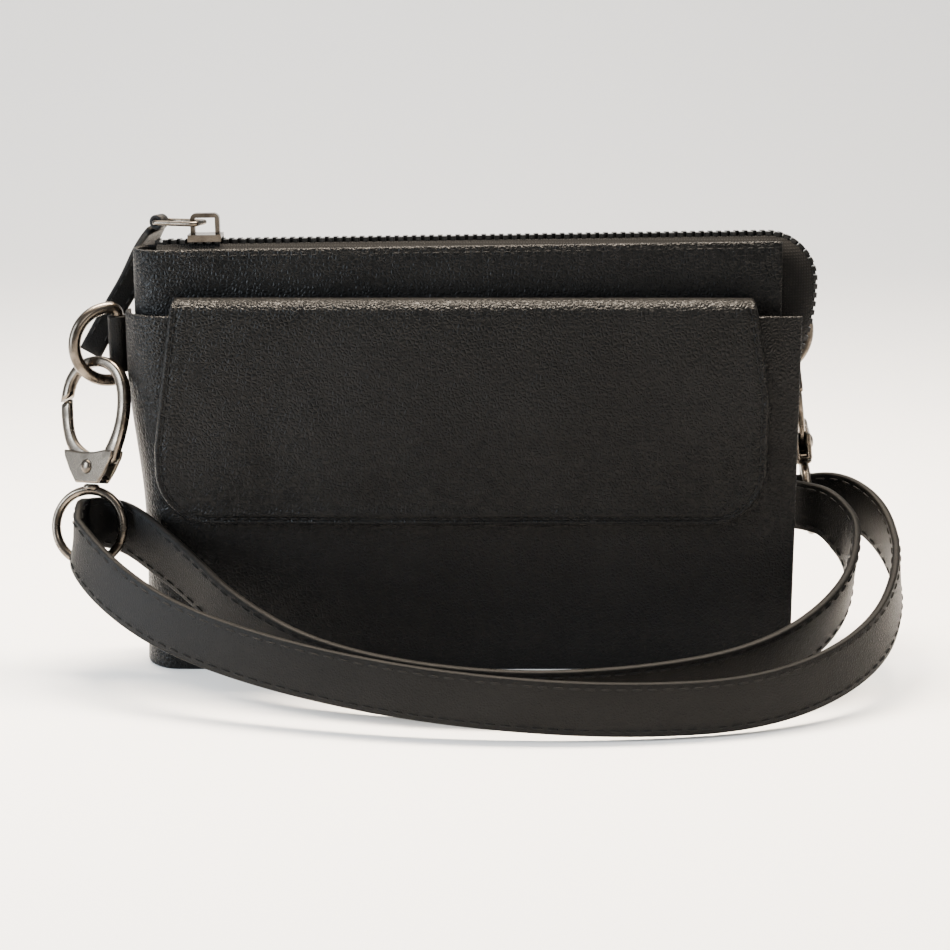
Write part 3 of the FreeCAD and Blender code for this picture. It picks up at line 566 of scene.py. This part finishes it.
for name, side in (("front_top_stitches", -1), ("back_top_stitches", 1)):
    y = side * (body_half(TOP - TOP_STITCH_DROP) - 0.02)
    line = [(x, y, top_of(x) - TOP_STITCH_DROP) for x in np.linspace(TOP_STITCH_START, RIGHT - 2, 60)]
    ups = [(0, side, 0.15)] * len(line)
    row = stitches_on(name, line, ups, FINE_PITCH, 0.3)
    finish_piece(row, "wallet", "outer_leather")

# Front pocket. Its leather turns round the left end by the pocket's turn.

POCKET_TURN = math.radians(102)


def pocket_route(step):
    """Plan of the pocket's leather from its right edge round the left end, and distances along it."""
    arc_length = POCKET_RADIUS * POCKET_TURN
    straight = POCKET_RIGHT - POCKET_CENTRE[0]
    along = edge_steps(straight + arc_length, step)
    places = []
    for s in along:
        if s < straight:
            places.append((POCKET_RIGHT - s, -POCKET_FRONT))
        else:
            turn = -math.pi / 2 - (s - straight) / POCKET_RADIUS
            places.append((POCKET_CENTRE[0] + POCKET_RADIUS * math.cos(turn),
                           POCKET_CENTRE[1] + POCKET_RADIUS * math.sin(turn)))
    return places, along, straight + arc_length


def make_pocket():
    heights = edge_steps(POCKET_TOP, LEATHER_STEP)
    places, along, total = pocket_route(LEATHER_STEP)
    grid, edges = [], []
    for z in heights:
        row, border = [], []
        for (x, y), s in zip(places, along):
            lift = wrinkle((x, y, z), 0.3, 26.0, 9.0) * min(1.0, z / WRINKLE_FADE)
            row.append((waist(x, z), y - 0.4 * lift, z))
            border.append(min(z, POCKET_TOP - z, s, total - s))
        grid.append(row)
        edges.append(border)
    grid = np.array(grid).transpose(1, 0, 2)
    return panel("pocket_leather", grid, POCKET_LEATHER, np.array(edges).T,
                 [LEATHER_BODY, LEATHER_BACK, EDGE_LIGHT])


finish_piece(make_pocket(), "wallet", "outer_leather", "pocket_panel")

# Flap: over the top in a round roll and down the front, wider below than at the roll, with round lower corners.
# Its sides are (heights, places). Its edge has ridges: (height, distance in from the edge, width).

FLAP_LEFT = ([48, 72, 100, 118], [-97.4, -97.6, -93.8, -91.2])
FLAP_RIGHT = ([48, 88, 118], [91.2, 91.3, 86.6])
FLAP_WIDTH, FLAP_ROW, FLAP_COLUMN = 188.0, 1.6, 1.9
FLAP_CROWN, FLAP_LIFT, FLAP_FALL = 0.7, 0.35, 30.0
FLAP_RIDGES = ((0.34, 0.9, 0.6), (-0.34, 2.1, 0.4), (0.26, 3.6, 1.2))
RIDGE_START, SEAM_END, STITCH_START, STITCH_INSET = 8, 1, 9.0, 2.1
FLAP_RISE = FLAP_BACK - FLAP_SEAM
FLAP_LENGTH = -FLAP_RISE + FLAP_ROLL * math.pi / 2 + FLAP_HEIGHT - FLAP_BOTTOM


def flap_sides(z):
    """x of the flap's left and right edges at a height."""
    return np.interp(z, *FLAP_LEFT), np.interp(z, *FLAP_RIGHT)


def flap_outside(along):
    """(y, z) and outward normal of the flap's outside, a distance along it from the seam."""
    if along < -FLAP_RISE:
        return (FLAP_SEAM - along, FLAP_HEIGHT + FLAP_ROLL), (0, 1)
    along += FLAP_RISE
    bend = FLAP_ROLL * math.pi / 2
    if along < bend:
        turn = along / FLAP_ROLL
        return ((FLAP_BACK - FLAP_ROLL * math.sin(turn), FLAP_HEIGHT + FLAP_ROLL * math.cos(turn)),
                (-math.sin(turn), math.cos(turn)))
    return (FLAP_BACK - FLAP_ROLL, FLAP_HEIGHT - (along - bend)), (-1, 0)


def flap_point(along, share, inset=0.0):
    """A point of the flap's outside; share goes from 0 at its left edge to 1 at its right edge."""
    (y, z), (ny, nz) = flap_outside(along)
    left, right = flap_sides(z)
    rest = FLAP_LENGTH - along
    corner = FLAP_CORNER - math.sqrt(max(FLAP_CORNER ** 2 - max(FLAP_CORNER - rest, 0) ** 2, 0))
    left, right = left + corner + inset, right - corner - inset
    x = left + (right - left) * share
    fall = min(max((FLAP_HEIGHT - z) / FLAP_FALL, 0.0), 1.0)
    uneven = FLAP_LIFT + wrinkle((x, y, z), 0.35, 24.0, 5.0)
    swell = FLAP_CROWN * math.sin(math.pi * min(max(share, 0), 1)) * fall + uneven * fall
    return np.array((x, y + ny * swell, z + nz * swell)), np.array((0.0, ny, nz))


def flap_ridge(distance):
    """Height of the turned edge: proud at the very edge, a groove under the stitches, then a soft shoulder."""
    return sum(height * math.exp(-((distance - place) / width) ** 2) for height, place, width in FLAP_RIDGES)


def make_flap():
    rows = list(edge_steps(FLAP_LENGTH, FLAP_ROW))
    corner_rows = [FLAP_LENGTH - FLAP_CORNER * (1 - math.cos(t)) for t in np.linspace(0.05, 1.2, 22)]
    rows = sorted(set(round(a, 4) for a in rows + corner_rows))
    grid, edges, lifts = [], [], []
    for along in rows:
        a, b = flap_point(along, 0)[0], flap_point(along, 1)[0]
        width = b[0] - a[0]
        row, border, lift = [], [], []
        for s in edge_steps(FLAP_WIDTH, FLAP_COLUMN):
            share = s / FLAP_WIDTH
            point = flap_point(along, share)[0]
            rest = FLAP_LENGTH - along
            side = min(share, 1 - share) * width
            near = min(side, rest)
            down = FLAP_CORNER - rest
            inset = FLAP_CORNER - math.sqrt(max(FLAP_CORNER ** 2 - max(down, 0) ** 2, 0))
            across = FLAP_CORNER - (side + inset)
            if across > 0 and down > 0:
                near = FLAP_CORNER - math.hypot(across, down)
            row.append(point)
            border.append(max(near, 0) if along > SEAM_END else 0.6)
            lift.append(flap_ridge(max(near, 0)) if along > RIDGE_START else 0.0)
        grid.append(row)
        edges.append(border)
        lifts.append(lift)
    grid = np.array(grid)
    return panel("flap_leather", grid[:, ::-1], FLAP_DEPTH, np.array(edges)[:, ::-1],
                 [LEATHER_BODY, LINING_CLOTH, EDGE_DARK], np.array(lifts)[:, ::-1])


def flap_stitch_line(inset):
    """The stitch line round the flap, from its left end at the roll to its right end."""
    lows = np.linspace(STITCH_START, FLAP_LENGTH - FLAP_CORNER, 40)
    line, ups = [], []
    for along in lows:
        point, up = flap_point(along, 0.0, inset)
        line.append(point)
        ups.append(up)
    for sign in (1, -1):
        z = FLAP_BOTTOM + FLAP_CORNER
        centre_x = flap_sides(FLAP_BOTTOM)[0 if sign > 0 else 1] + sign * FLAP_CORNER
        turns = np.linspace(0.06, math.pi / 2, 12) if sign > 0 else np.linspace(math.pi / 2, 0.06, 12)
        for turn in turns:
            radius = FLAP_CORNER - inset
            x = centre_x - sign * radius * math.cos(turn)
            height = z - radius * math.sin(turn)
            along = FLAP_LENGTH - (height - FLAP_BOTTOM)
            near = flap_point(along, 0.02 if sign > 0 else 0.98)[0]
            line.append(np.array((x, near[1], height)))
            ups.append(np.array((0, -1.0, 0)))
        if sign > 0:
            for x in np.linspace(line[-1][0] + 2, flap_sides(FLAP_BOTTOM)[1] - FLAP_CORNER - 2, 60):
                left, right = flap_sides(FLAP_BOTTOM)
                share = (x - left) / (right - left)
                y = flap_point(FLAP_LENGTH - FLAP_CORNER * 0.5, share)[0][1]
                line.append(np.array((x, y, FLAP_BOTTOM + inset)))
                ups.append(np.array((0, -1.0, 0)))
    for along in lows[::-1]:
        point, up = flap_point(along, 1.0, inset)
        line.append(point)
        ups.append(up)
    return line, ups


flap = make_flap()
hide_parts("flap_outer", "flap_lining", "flap_seam_strip")
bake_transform(flap)
line, ups = flap_stitch_line(STITCH_INSET)
flap_thread = stitches_on("flap_stitches", line, ups, FINE_PITCH, 0.32, share=0.74)
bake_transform(flap_thread)

# Strap and zip pull: flat strips of smooth leather with painted edges, sewn along both edges.

STRAP_STEPS, STRAP_STITCH, STRAP_PITCH = 14, 1.9, 4.5
PULL_STEPS, PULL_STITCH, PULL_PITCH, PULL_LIFT = 10, 1.4, 3.4, 1.16
PULL_STITCHED = slice(4, -2)

# The far bar of the zip's link, its direction, and the loop's section round it: (distance out, place along).

LINK_BAR, LINK_WAY = np.array((-97.33, 5.43, 139.30)), np.array((0.3746, 0.9272, 0.0))
LOOP_SECTION = ((0.86, -2.2), (2.1, -2.2), (2.3, -2.0), (2.3, 2.0), (2.1, 2.2), (0.86, 2.2))
LOOP_TURNS = 28


def make_strap():
    points = smooth_route([p for p, lean in STRAP_ROUTE], STRAP_STEPS, True)
    leans = np.radians(smooth_route([(lean, 0, 0) for p, lean in STRAP_ROUTE], STRAP_STEPS, True)[:, 0])
    upright = np.array((0.0, 0.0, 1.0))
    outward = np.cross(tangents_of(points, True), upright)
    ways = upright * np.cos(leans)[:, None] - outward * np.sin(leans)[:, None]
    wide, flat = frames_along(points, ways, True)
    section, kinds = rounded_strip(STRAP_WIDTH, STRAP_DEPTH, 0.8, 0.18)
    strap = sweep("strap_leather", points, wide, flat, section, True, [LEATHER_STRAP, EDGE_DARK], kinds)
    finish_piece(strap, "strap", "strap_leather", "strap")
    for name, side, across in (("outer_upper", 1, 1), ("outer_lower", 1, -1), ("inner_upper", -1, 1),
                               ("inner_lower", -1, -1)):
        out = side * (STRAP_DEPTH / 2 - 0.04)
        line = points + wide * (across * (STRAP_WIDTH / 2 - STRAP_STITCH)) + flat * out
        row = stitches_on(f"strap_stitches_{name}", line, flat * side, STRAP_PITCH, 0.34, closed=True)
        finish_piece(row, "strap", "strap_leather")


make_strap()


def make_pull_loop():
    """The leather's short loop round the far bar of the link."""
    outward, upward = np.array((LINK_WAY[1], -LINK_WAY[0], 0.0)), np.array((0.0, 0.0, 1.0))
    count = len(LOOP_SECTION)
    points, faces = [], []
    for i in range(LOOP_TURNS):
        turn = i * 2 * math.pi / LOOP_TURNS
        out = outward * math.cos(turn) + upward * math.sin(turn)
        points += [LINK_BAR + LINK_WAY * along + out * radius for radius, along in LOOP_SECTION]
        here, there = i * count, (i + 1) % LOOP_TURNS * count
        faces += [(here + j, here + (j + 1) % count, there + (j + 1) % count, there + j) for j in range(count)]
    return make_object("pull_loop", points, faces, [LEATHER_STRAP])


def make_pull():
    points = smooth_route([p for p, way in PULL_ROUTE], PULL_STEPS, False)
    ways = smooth_route([way for p, way in PULL_ROUTE], PULL_STEPS, False)
    wide, flat = frames_along(points, ways, False)
    section, kinds = rounded_strip(PULL_WIDTH, PULL_DEPTH, 0.7, 0.15)
    pull = sweep("pull_leather", points, wide, flat, section, False, [LEATHER_STRAP, EDGE_DARK], kinds)
    finish_piece(pull, "leather_pull", "strap_leather", "leather_pull")
    finish_piece(make_pull_loop(), "leather_pull", "strap_leather")
    points, wide, flat = points[PULL_STITCHED], wide[PULL_STITCHED], flat[PULL_STITCHED]
    for name, side in (("front", 1), ("back", -1)):
        for number, across in enumerate((-1, 1)):
            line = points + wide * (across * (PULL_WIDTH / 2 - PULL_STITCH)) + flat * (side * PULL_LIFT)
            row = stitches_on(f"pull_stitches_{name}_{number}", line, flat * side, PULL_PITCH, 0.28)
            finish_piece(row, "leather_pull", "strap_leather")


make_pull()

# Zip tapes: from beside the teeth down to the leather, and round the open right end, where they stand out.

ZIP_START, ZIP_TURN, ZIP_HEIGHT, ZIP_CORNER, ZIP_SIDE = -97.0, 91.6, 133.2, 14.5, 60.0
ZIP_SIDE_ANGLE, TAPE_INNER, TAPE_THICK = 26.0, 2.7, 0.5
TAPE_END, TAPE_DROP, TAPE_GAP = 2.4, 1.3, 0.25
TAPE_STEPS = (0.0, 0.04, 0.1, 0.25, 0.4, 0.55, 0.7, 0.85, 1.0)
BOW_REACH, BOW_SIDE, BOW_OUT = 8, 1.2, 1.5


def zip_line():
    """The zip's line from the slider's end to its foot at the right, each point with its place on the leather."""
    places = [(x, ZIP_HEIGHT, x, None) for x in np.linspace(ZIP_START, ZIP_TURN - 2, 90)]
    level = ZIP_HEIGHT - ZIP_CORNER
    for turn in np.radians(np.arange(86, -1, -6)):
        share = 1 - turn / (math.pi / 2)
        places.append((ZIP_TURN + ZIP_CORNER * math.cos(turn), level + ZIP_CORNER * math.sin(turn),
                       ZIP_TURN + TAPE_END * min(1, share * 3), ZIP_HEIGHT - share * ZIP_CORNER))
    centre = ZIP_TURN + ZIP_CORNER - ZIP_SIDE
    for turn in np.radians(np.arange(-2, -ZIP_SIDE_ANGLE - 0.1, -2)):
        z = level + ZIP_SIDE * math.sin(turn)
        places.append((centre + ZIP_SIDE * math.cos(turn), z, ZIP_TURN + TAPE_END, z))
    line = []
    for x, z, inner_x, inner_z in places:
        out = x - ZIP_START
        tall = z - ZIP_HEIGHT
        seen = (ZIP_START + out * math.cos(ZIP_SLOPE) - tall * math.sin(ZIP_SLOPE),
                ZIP_HEIGHT + out * math.sin(ZIP_SLOPE) + tall * math.cos(ZIP_SLOPE))
        low = top_of(inner_x) - TAPE_DROP
        line.append((seen, (inner_x, low if inner_z is None else min(low, inner_z))))
    return line


def make_tape(name, side, node):
    """One tape from the teeth to the leather, bowed out round the right end."""
    grid, edges = [], []
    for (x, z), (inner_x, inner_z) in zip_line():
        out = Vector((inner_x, side * (body_half(inner_z) - LEATHER - TAPE_GAP), inner_z))
        near = Vector((x, side * TAPE_INNER, z))
        past = min(1, max(0, (x - ZIP_TURN) / BOW_REACH))
        row = []
        for k in TAPE_STEPS:
            point = near.lerp(out, k)
            bow = math.sin(math.pi * k)
            point.y += side * BOW_SIDE * bow * past
            point.x += BOW_OUT * bow * past
            row.append(tuple(point))
        grid.append(row)
        edges.append([5.0 * min(k, 1 - k) + 0.12 for k in TAPE_STEPS])
    grid, edges = np.array(grid), np.array(edges)
    if side > 0:
        grid, edges = grid[::-1], edges[::-1]
    finish_piece(panel(name, grid, TAPE_THICK, edges, [TAPE_CLOTH] * 3), "wallet", "zip_tape", node)


make_tape("front_tape", -1, "zip_tape_front")
make_tape("back_tape", 1, "zip_tape_back")

# Snap hooks, rings and tabs. Profiles turned round an axis are (distance out, place along).

CHEEK_OUTLINE = [(-5.0, 0), (5.0, 0), (8.0, 4.0), (10.4, 8.2), (10.9, 10.4), (7.0, 10.6), (3.0, 9.9),
                 (-3.0, 9.7), (-7.0, 10.0), (-10.9, 10.4), (-10.4, 8.2), (-8.0, 4.0)]
FOOT_OUTLINE = [(-4.6, 0.05), (4.6, 0.05), (5.3, 1.25), (-5.3, 1.25)]
HEEL_OUTLINE = [(4.6, 1.2), (5.8, 1.2), (10.2, 8.2), (10.7, 10.2), (4.6, 9.9)]
RIVET_DOME = [(1.3, -2.75), (2.3, -2.72), (2.15, -3.1), (1.6, -3.5), (0.7, -3.72)]
EYE_COLLAR = [(1.6, -2.3), (2.5, -1.9), (2.7, -1.2), (2.3, -0.5), (1.6, -0.2)]
RIVET_HEIGHT, ROUND_SIDES, EYE_SIDES = 5.2, 24, 72
CHEEK_PLACE, CHEEK_HALF, CORE_HALF, BOW_HALF, GATE_HALF = 2.05, 0.65, 2.6, 1.7, 1.15
CASTING_SIDES, CASTING_POWER = 24, 0.62
RING_CORNER = 2.4
TAB_FIT, TAB_STITCH, TAB_NECK, TAB_PITCH = 0.05, 1.8, 1.2, 3.4


def hook_matrix(foot, top, turn):
    """Stands a hook on its foot, leaning to a point and turned about its own length."""
    upright = Vector((0, 0, 1)).rotation_difference(Vector(top) - Vector(foot))
    spin = Quaternion((0, 0, 1), math.radians(turn))
    return Matrix.Translation(Vector(foot) * MM) @ (upright @ spin).to_matrix().to_4x4()


def put(item, matrix):
    """Moves a piece's mesh to its place."""
    item.data.transform(matrix)
    return item


# The hook in its own plane: (outer point, inner point) pairs along the bow from its nose, and along the gate.

BOW_PAIRS = [
    ((-14.9, 25.2), (-11.0, 27.4)), ((-14.4, 28.6), (-10.6, 29.4)), ((-13.2, 32.6), (-9.6, 31.8)),
    ((-10.4, 36.3), (-7.4, 34.2)), ((-6.4, 38.9), (-4.6, 35.8)), ((-1.5, 40.0), (-1.2, 36.6)),
    ((3.6, 39.8), (2.4, 36.5)), ((8.6, 38.0), (6.0, 35.3)), ((12.4, 34.4), (8.8, 32.8)),
    ((14.4, 29.4), (10.4, 28.6)), ((14.8, 24.0), (10.8, 23.6)), ((14.1, 18.6), (10.1, 18.6)),
    ((12.8, 13.6), (8.0, 14.0)), ((11.2, 9.4), (5.6, 10.4)), ((9.9, 6.4), (4.6, 7.6)),
]
GATE_PAIRS = [
    ((-1.0, 2.6), (2.5, 4.6)), ((-5.4, 5.4), (0.8, 8.8)), ((-9.6, 8.8), (-5.2, 11.2)),
    ((-12.2, 12.4), (-8.4, 13.8)), ((-13.9, 17.0), (-9.9, 17.4)), ((-14.8, 21.2), (-10.6, 21.4)),
    ((-14.9, 24.2), (-11.1, 26.2)),
]


def casting(name, pairs, half_depth, materials):
    """A rounded metal bar in the XZ plane, whose two sides run through the pairs of points."""
    outer = smooth_route([(x, 0, z) for (x, z), b in pairs], 5, False)
    inner = smooth_route([(x, 0, z) for a, (x, z) in pairs], 5, False)
    across = outer - inner
    widths = np.linalg.norm(across, axis=1)
    across /= widths[:, None]
    sides = [tuple(math.copysign(abs(a) ** CASTING_POWER, a) for a in place)
             for place in circle(1, CASTING_SIDES)]
    depth = np.tile(np.array((0.0, 1.0, 0.0)), (len(outer), 1))
    scale = [(w / 2, half_depth) for w in widths]
    return sweep(name, (outer + inner) / 2, across, depth, sides, False, materials, scale=scale)


def outline_block(name, outline, half, materials, bevel):
    """A block with an outline in the XZ plane and a depth along Y."""
    count = len(outline)
    points = [(x, y, z) for y in (-half, half) for x, z in outline]
    faces = [tuple(range(count)), tuple(range(2 * count - 1, count - 1, -1))]
    faces += [(k, count + k, count + (k + 1) % count, (k + 1) % count) for k in range(count)]
    return add_bevel(make_object(name, points, faces, materials, smooth=False), bevel)


def turn_angles(sides):
    return np.linspace(0, 2 * math.pi, sides, False)


def make_hook_base(side, place):
    """The two cheeks of the base, with a foot and a heel between them."""
    for number, y in enumerate((-CHEEK_PLACE, CHEEK_PLACE)):
        cheek = outline_block(f"{side}_hook_cheek{number}", CHEEK_OUTLINE, CHEEK_HALF, [GUNMETAL], 0.6)
        cheek.data.transform(Matrix.Translation((0, y * MM, 0)))
        finish_piece(put(cheek, place), f"{side}_hook", "dark_metal")
    for name, outline in (("foot", FOOT_OUTLINE), ("heel", HEEL_OUTLINE)):
        block = outline_block(f"{side}_hook_{name}", outline, CORE_HALF, [GUNMETAL], 0.3)
        finish_piece(put(block, place), f"{side}_hook", "dark_metal")


def make_rivet_head(side, number, way, place):
    """One domed head of the gate's rivet; the first head stands for the whole rivet."""
    points = [(r * math.cos(t), way * y, RIVET_HEIGHT + r * math.sin(t))
              for r, y in RIVET_DOME for t in turn_angles(ROUND_SIDES)]
    rows = len(RIVET_DOME)
    faces = turned_faces(rows, ROUND_SIDES)
    faces.append(tuple((rows - 1) * ROUND_SIDES + k for k in range(ROUND_SIDES)))
    head = put(make_object(f"{side}_rivet_head{number}", points, faces, [GUNMETAL]), place)
    finish_piece(head, f"{side}_hook", "dark_metal", *([f"{side}_gate_rivet"] if number == 0 else []))


def make_eye(side, place, eye_turn):
    """The round eye that holds the strap, and the collar of its swivel."""
    ring = [(EYE_RADIUS * math.cos(t), 0, -EYE_DROP + EYE_RADIUS * math.sin(t)) for t in turn_angles(EYE_SIDES)]
    turn = Matrix.Rotation(math.radians(eye_turn), 4, "Z")
    eye = put(closed_wire(f"{side}_eye_ring", ring, EYE_WIRE, [GUNMETAL]), place @ turn)
    finish_piece(eye, "strap", "dark_metal", f"{side}_swivel_eye")
    points = [(r * math.cos(t), r * math.sin(t), z) for r, z in EYE_COLLAR for t in turn_angles(ROUND_SIDES)]
    rows = len(EYE_COLLAR)
    faces = turned_faces(rows, ROUND_SIDES)
    faces += [tuple(range(ROUND_SIDES))[::-1], tuple((rows - 1) * ROUND_SIDES + k for k in range(ROUND_SIDES))]
    collar = put(make_object(f"{side}_eye_collar", points, faces, [GUNMETAL]), place)
    finish_piece(collar, "strap", "dark_metal")


def make_hook(side, place, eye_turn):
    bow = put(casting(f"{side}_hook_bow", BOW_PAIRS, BOW_HALF, [GUNMETAL]), place)
    finish_piece(bow, f"{side}_hook", "dark_metal", f"{side}_hook_frame")
    make_hook_base(side, place)
    for number, way in enumerate((1, -1)):
        make_rivet_head(side, number, way, place)
    gate = put(casting(f"{side}_gate_lever", GATE_PAIRS, GATE_HALF, [GUNMETAL]), place)
    finish_piece(gate, f"{side}_gate", "dark_metal", f"{side}_gate")
    make_eye(side, place, eye_turn)


def make_ring(side, bar, turn):
    """A wire D: its straight bar in the tab, and a half circle outwards."""
    corner = RING_CORNER
    points = [(0, 0, z) for z in np.linspace(-RING_RADIUS + corner, RING_RADIUS - corner, 8)]
    for t in np.radians(np.arange(15, 90, 15)):
        points.append((corner * (1 - math.cos(t)), 0, RING_RADIUS - corner + corner * math.sin(t)))
    for t in np.radians(np.arange(90, -91, -6)):
        points.append((RING_STRAIGHT + RING_RADIUS * math.cos(t), 0, RING_RADIUS * math.sin(t)))
    for t in np.radians(np.arange(75, 0, -15)):
        points.append((corner * (1 - math.cos(t)), 0, -RING_RADIUS + corner - corner * math.sin(t)))
    ring = closed_wire(f"{side}_ring_wire", points, RING_WIRE, [GUNMETAL])
    middle = bar + Vector((0, 0, RING_HEIGHT))
    place = Matrix.Translation(middle * MM) @ Matrix.Rotation(math.radians(turn), 4, "Z")
    finish_piece(put(ring, place), f"{side}_ring", "dark_metal", f"{side}_dring")


def tab_plan(bar, way, flat, length, outer):
    """Plan of the folded leather: round the ring's bar outside and back, and round its hole inside."""
    half, neck, seam = flat * (TAB_DEPTH / 2), way * (outer + TAB_NECK), flat * TAB_FIT
    root = way * length
    angle = math.atan2(way.y, way.x)

    def around(gap, radius, steps):
        turns = np.linspace(math.radians(gap), 2 * math.pi - math.radians(gap), steps)
        return [bar + Vector((math.cos(angle + t), math.sin(angle + t), 0)) * radius for t in turns]

    plan = [bar + root + half, bar + neck + half] + around(38, outer, 22)
    plan += [bar + neck - half, bar + root - half, bar + root - seam]
    return plan + around(14, RING_WIRE + TAB_FIT, 26)[::-1] + [bar + root + seam]


def make_tab(side, bar, root):
    """The folded leather tab round the ring's bar, with its stitches."""
    way = (root - bar).normalized()
    flat = Vector((-way.y, way.x, 0))
    length = (root - bar).length
    outer = RING_WIRE + TAB_FIT + TAB_SKIN
    plan = tab_plan(bar, way, flat, length, outer)
    count = len(plan)
    low, high = RING_HEIGHT - TAB_HEIGHT / 2, RING_HEIGHT + TAB_HEIGHT / 2
    points = [(p.x, p.y, z) for z in (low, high) for p in plan]
    faces = [tuple(range(count))[::-1], tuple(range(count, 2 * count))]
    faces += [(k, (k + 1) % count, count + (k + 1) % count, count + k) for k in range(count)]
    tab = make_object(f"{side}_tab_leather", points, faces, [LEATHER_STRAP, EDGE_DARK],
                      [1, 1] + [0] * (len(faces) - 2), smooth=False)
    finish_piece(add_bevel(tab, 0.3), "wallet", "strap_leather", f"{side}_tab")
    start, stop = bar + way * (outer + 1.0), bar + way * (length - 0.6)
    if (stop - start).length <= 4:
        return
    for number, sign in enumerate((1, -1)):
        for end, height in (("low", low + TAB_STITCH), ("high", high - TAB_STITCH)):
            base = flat * (sign * TAB_DEPTH / 2)
            line = [(*(start.lerp(stop, k / 4) + base).xy, height) for k in range(5)]
            ups = [tuple(flat * sign)] * len(line)
            row = stitches_on(f"{side}_tab_stitches{number}_{end}", line, ups, TAB_PITCH, 0.28)
            finish_piece(row, "wallet", "strap_leather")


LEFT_PLACE = hook_matrix((-118.8, -11.0, 59.3), (-117.0, -1.4, 97.3), -37)
RIGHT_PLACE = hook_matrix((109.3, 23.6, 59.8), (103.9, 23.1, 97.8), 85)
make_hook("left", LEFT_PLACE, 23)
make_hook("right", RIGHT_PLACE, 0)
make_ring("left", LEFT_BAR, 210)
make_ring("right", RIGHT_BAR, 22)
make_tab("left", LEFT_BAR, LEFT_ROOT)
make_tab("right", RIGHT_BAR, RIGHT_ROOT)

# CAD nodes that are shown as they are: their own materials, and softened edges.

CARRIED = {
    "side_gusset": (LEATHER_BODY, 0.3), "pocket_base": (LEATHER_BODY, 0.3),
    "pocket_magnet": (GUNMETAL, 0.1), "flap_magnet": (GUNMETAL, 0.1),
    "zip_teeth_front": (BLACK_METAL, 0.3), "zip_teeth_back": (BLACK_METAL, 0.3),
    "zip_stops": (BLACK_METAL, 0.3), "zip_slider": (GUNMETAL, 0.35), "pull_link": (GUNMETAL, 0.0),
    "left_gate_spring": (GUNMETAL, 0.1), "right_gate_spring": (GUNMETAL, 0.1),
}
for name, (material, width) in CARRIED.items():
    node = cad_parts[name]
    node.data.materials.clear()
    node.data.materials.append(material)
    if width:
        add_bevel(node, width, 2)

# Floor and soft studio light.


def area_light(name, place, aim, size, power, colour):
    """A rectangular light in metres and watts, facing a point."""
    data = bpy.data.lights.new(name, "AREA")
    data.shape = "RECTANGLE"
    data.size, data.size_y = size
    data.energy = power
    data.color = colour
    lamp = bpy.data.objects.new(name, data)
    lamp.location = place
    lamp.rotation_euler = (Vector(aim) - Vector(place)).to_track_quat("-Z", "Y").to_euler()
    bpy.context.collection.objects.link(lamp)


floor_material = bpy.data.materials.new("floor")
floor_material.use_nodes = True
floor_shader = floor_material.node_tree.nodes["Principled BSDF"]
floor_shader.inputs["Base Color"].default_value = (0.82, 0.82, 0.82, 1)
floor_shader.inputs["Roughness"].default_value = 0.9
FLOOR, BEND_START, BEND_RADIUS = 4000.0, 900.0, 600.0
profile = [(-FLOOR, 0.0), (BEND_START, 0.0)]
profile += [(BEND_START + BEND_RADIUS * math.sin(t), BEND_RADIUS - BEND_RADIUS * math.cos(t))
            for t in np.radians(np.arange(6, 91, 6))]
profile.append((BEND_START + BEND_RADIUS, FLOOR))
backdrop = [(side * FLOOR, y, z - 0.05) for y, z in profile for side in (-1, 1)]
strips = [(2 * k, 2 * k + 1, 2 * k + 3, 2 * k + 2) for k in range(len(profile) - 1)]
floor = make_object("floor", backdrop, strips, [floor_material])
world = bpy.data.worlds.new("studio")
world.use_nodes = True
sky = world.node_tree.nodes["Background"]
sky.inputs["Color"].default_value = (0.95, 0.97, 1.0, 1)
sky.inputs["Strength"].default_value = 0.35
bpy.context.scene.world = world
area_light("overhead", (0.1, 0.25, 1.6), (0, 0.1, 0.0), (2.6, 1.5), 70.0, (1.0, 0.95, 0.88))
area_light("rim", (0.0, 0.10, 0.60), (0, -0.02, 0.11), (0.5, 0.10), 26.0, (1.0, 0.84, 0.66))
area_light("left_side", (-0.8, -0.3, 0.30), (-0.05, 0, 0.06), (0.3, 0.5), 14.0, (0.80, 0.90, 1.0))
area_light("front_fill", (0.2, -1.2, 0.7), (0, 0, 0.05), (0.5, 0.3), 3.0, (1.0, 0.97, 0.93))
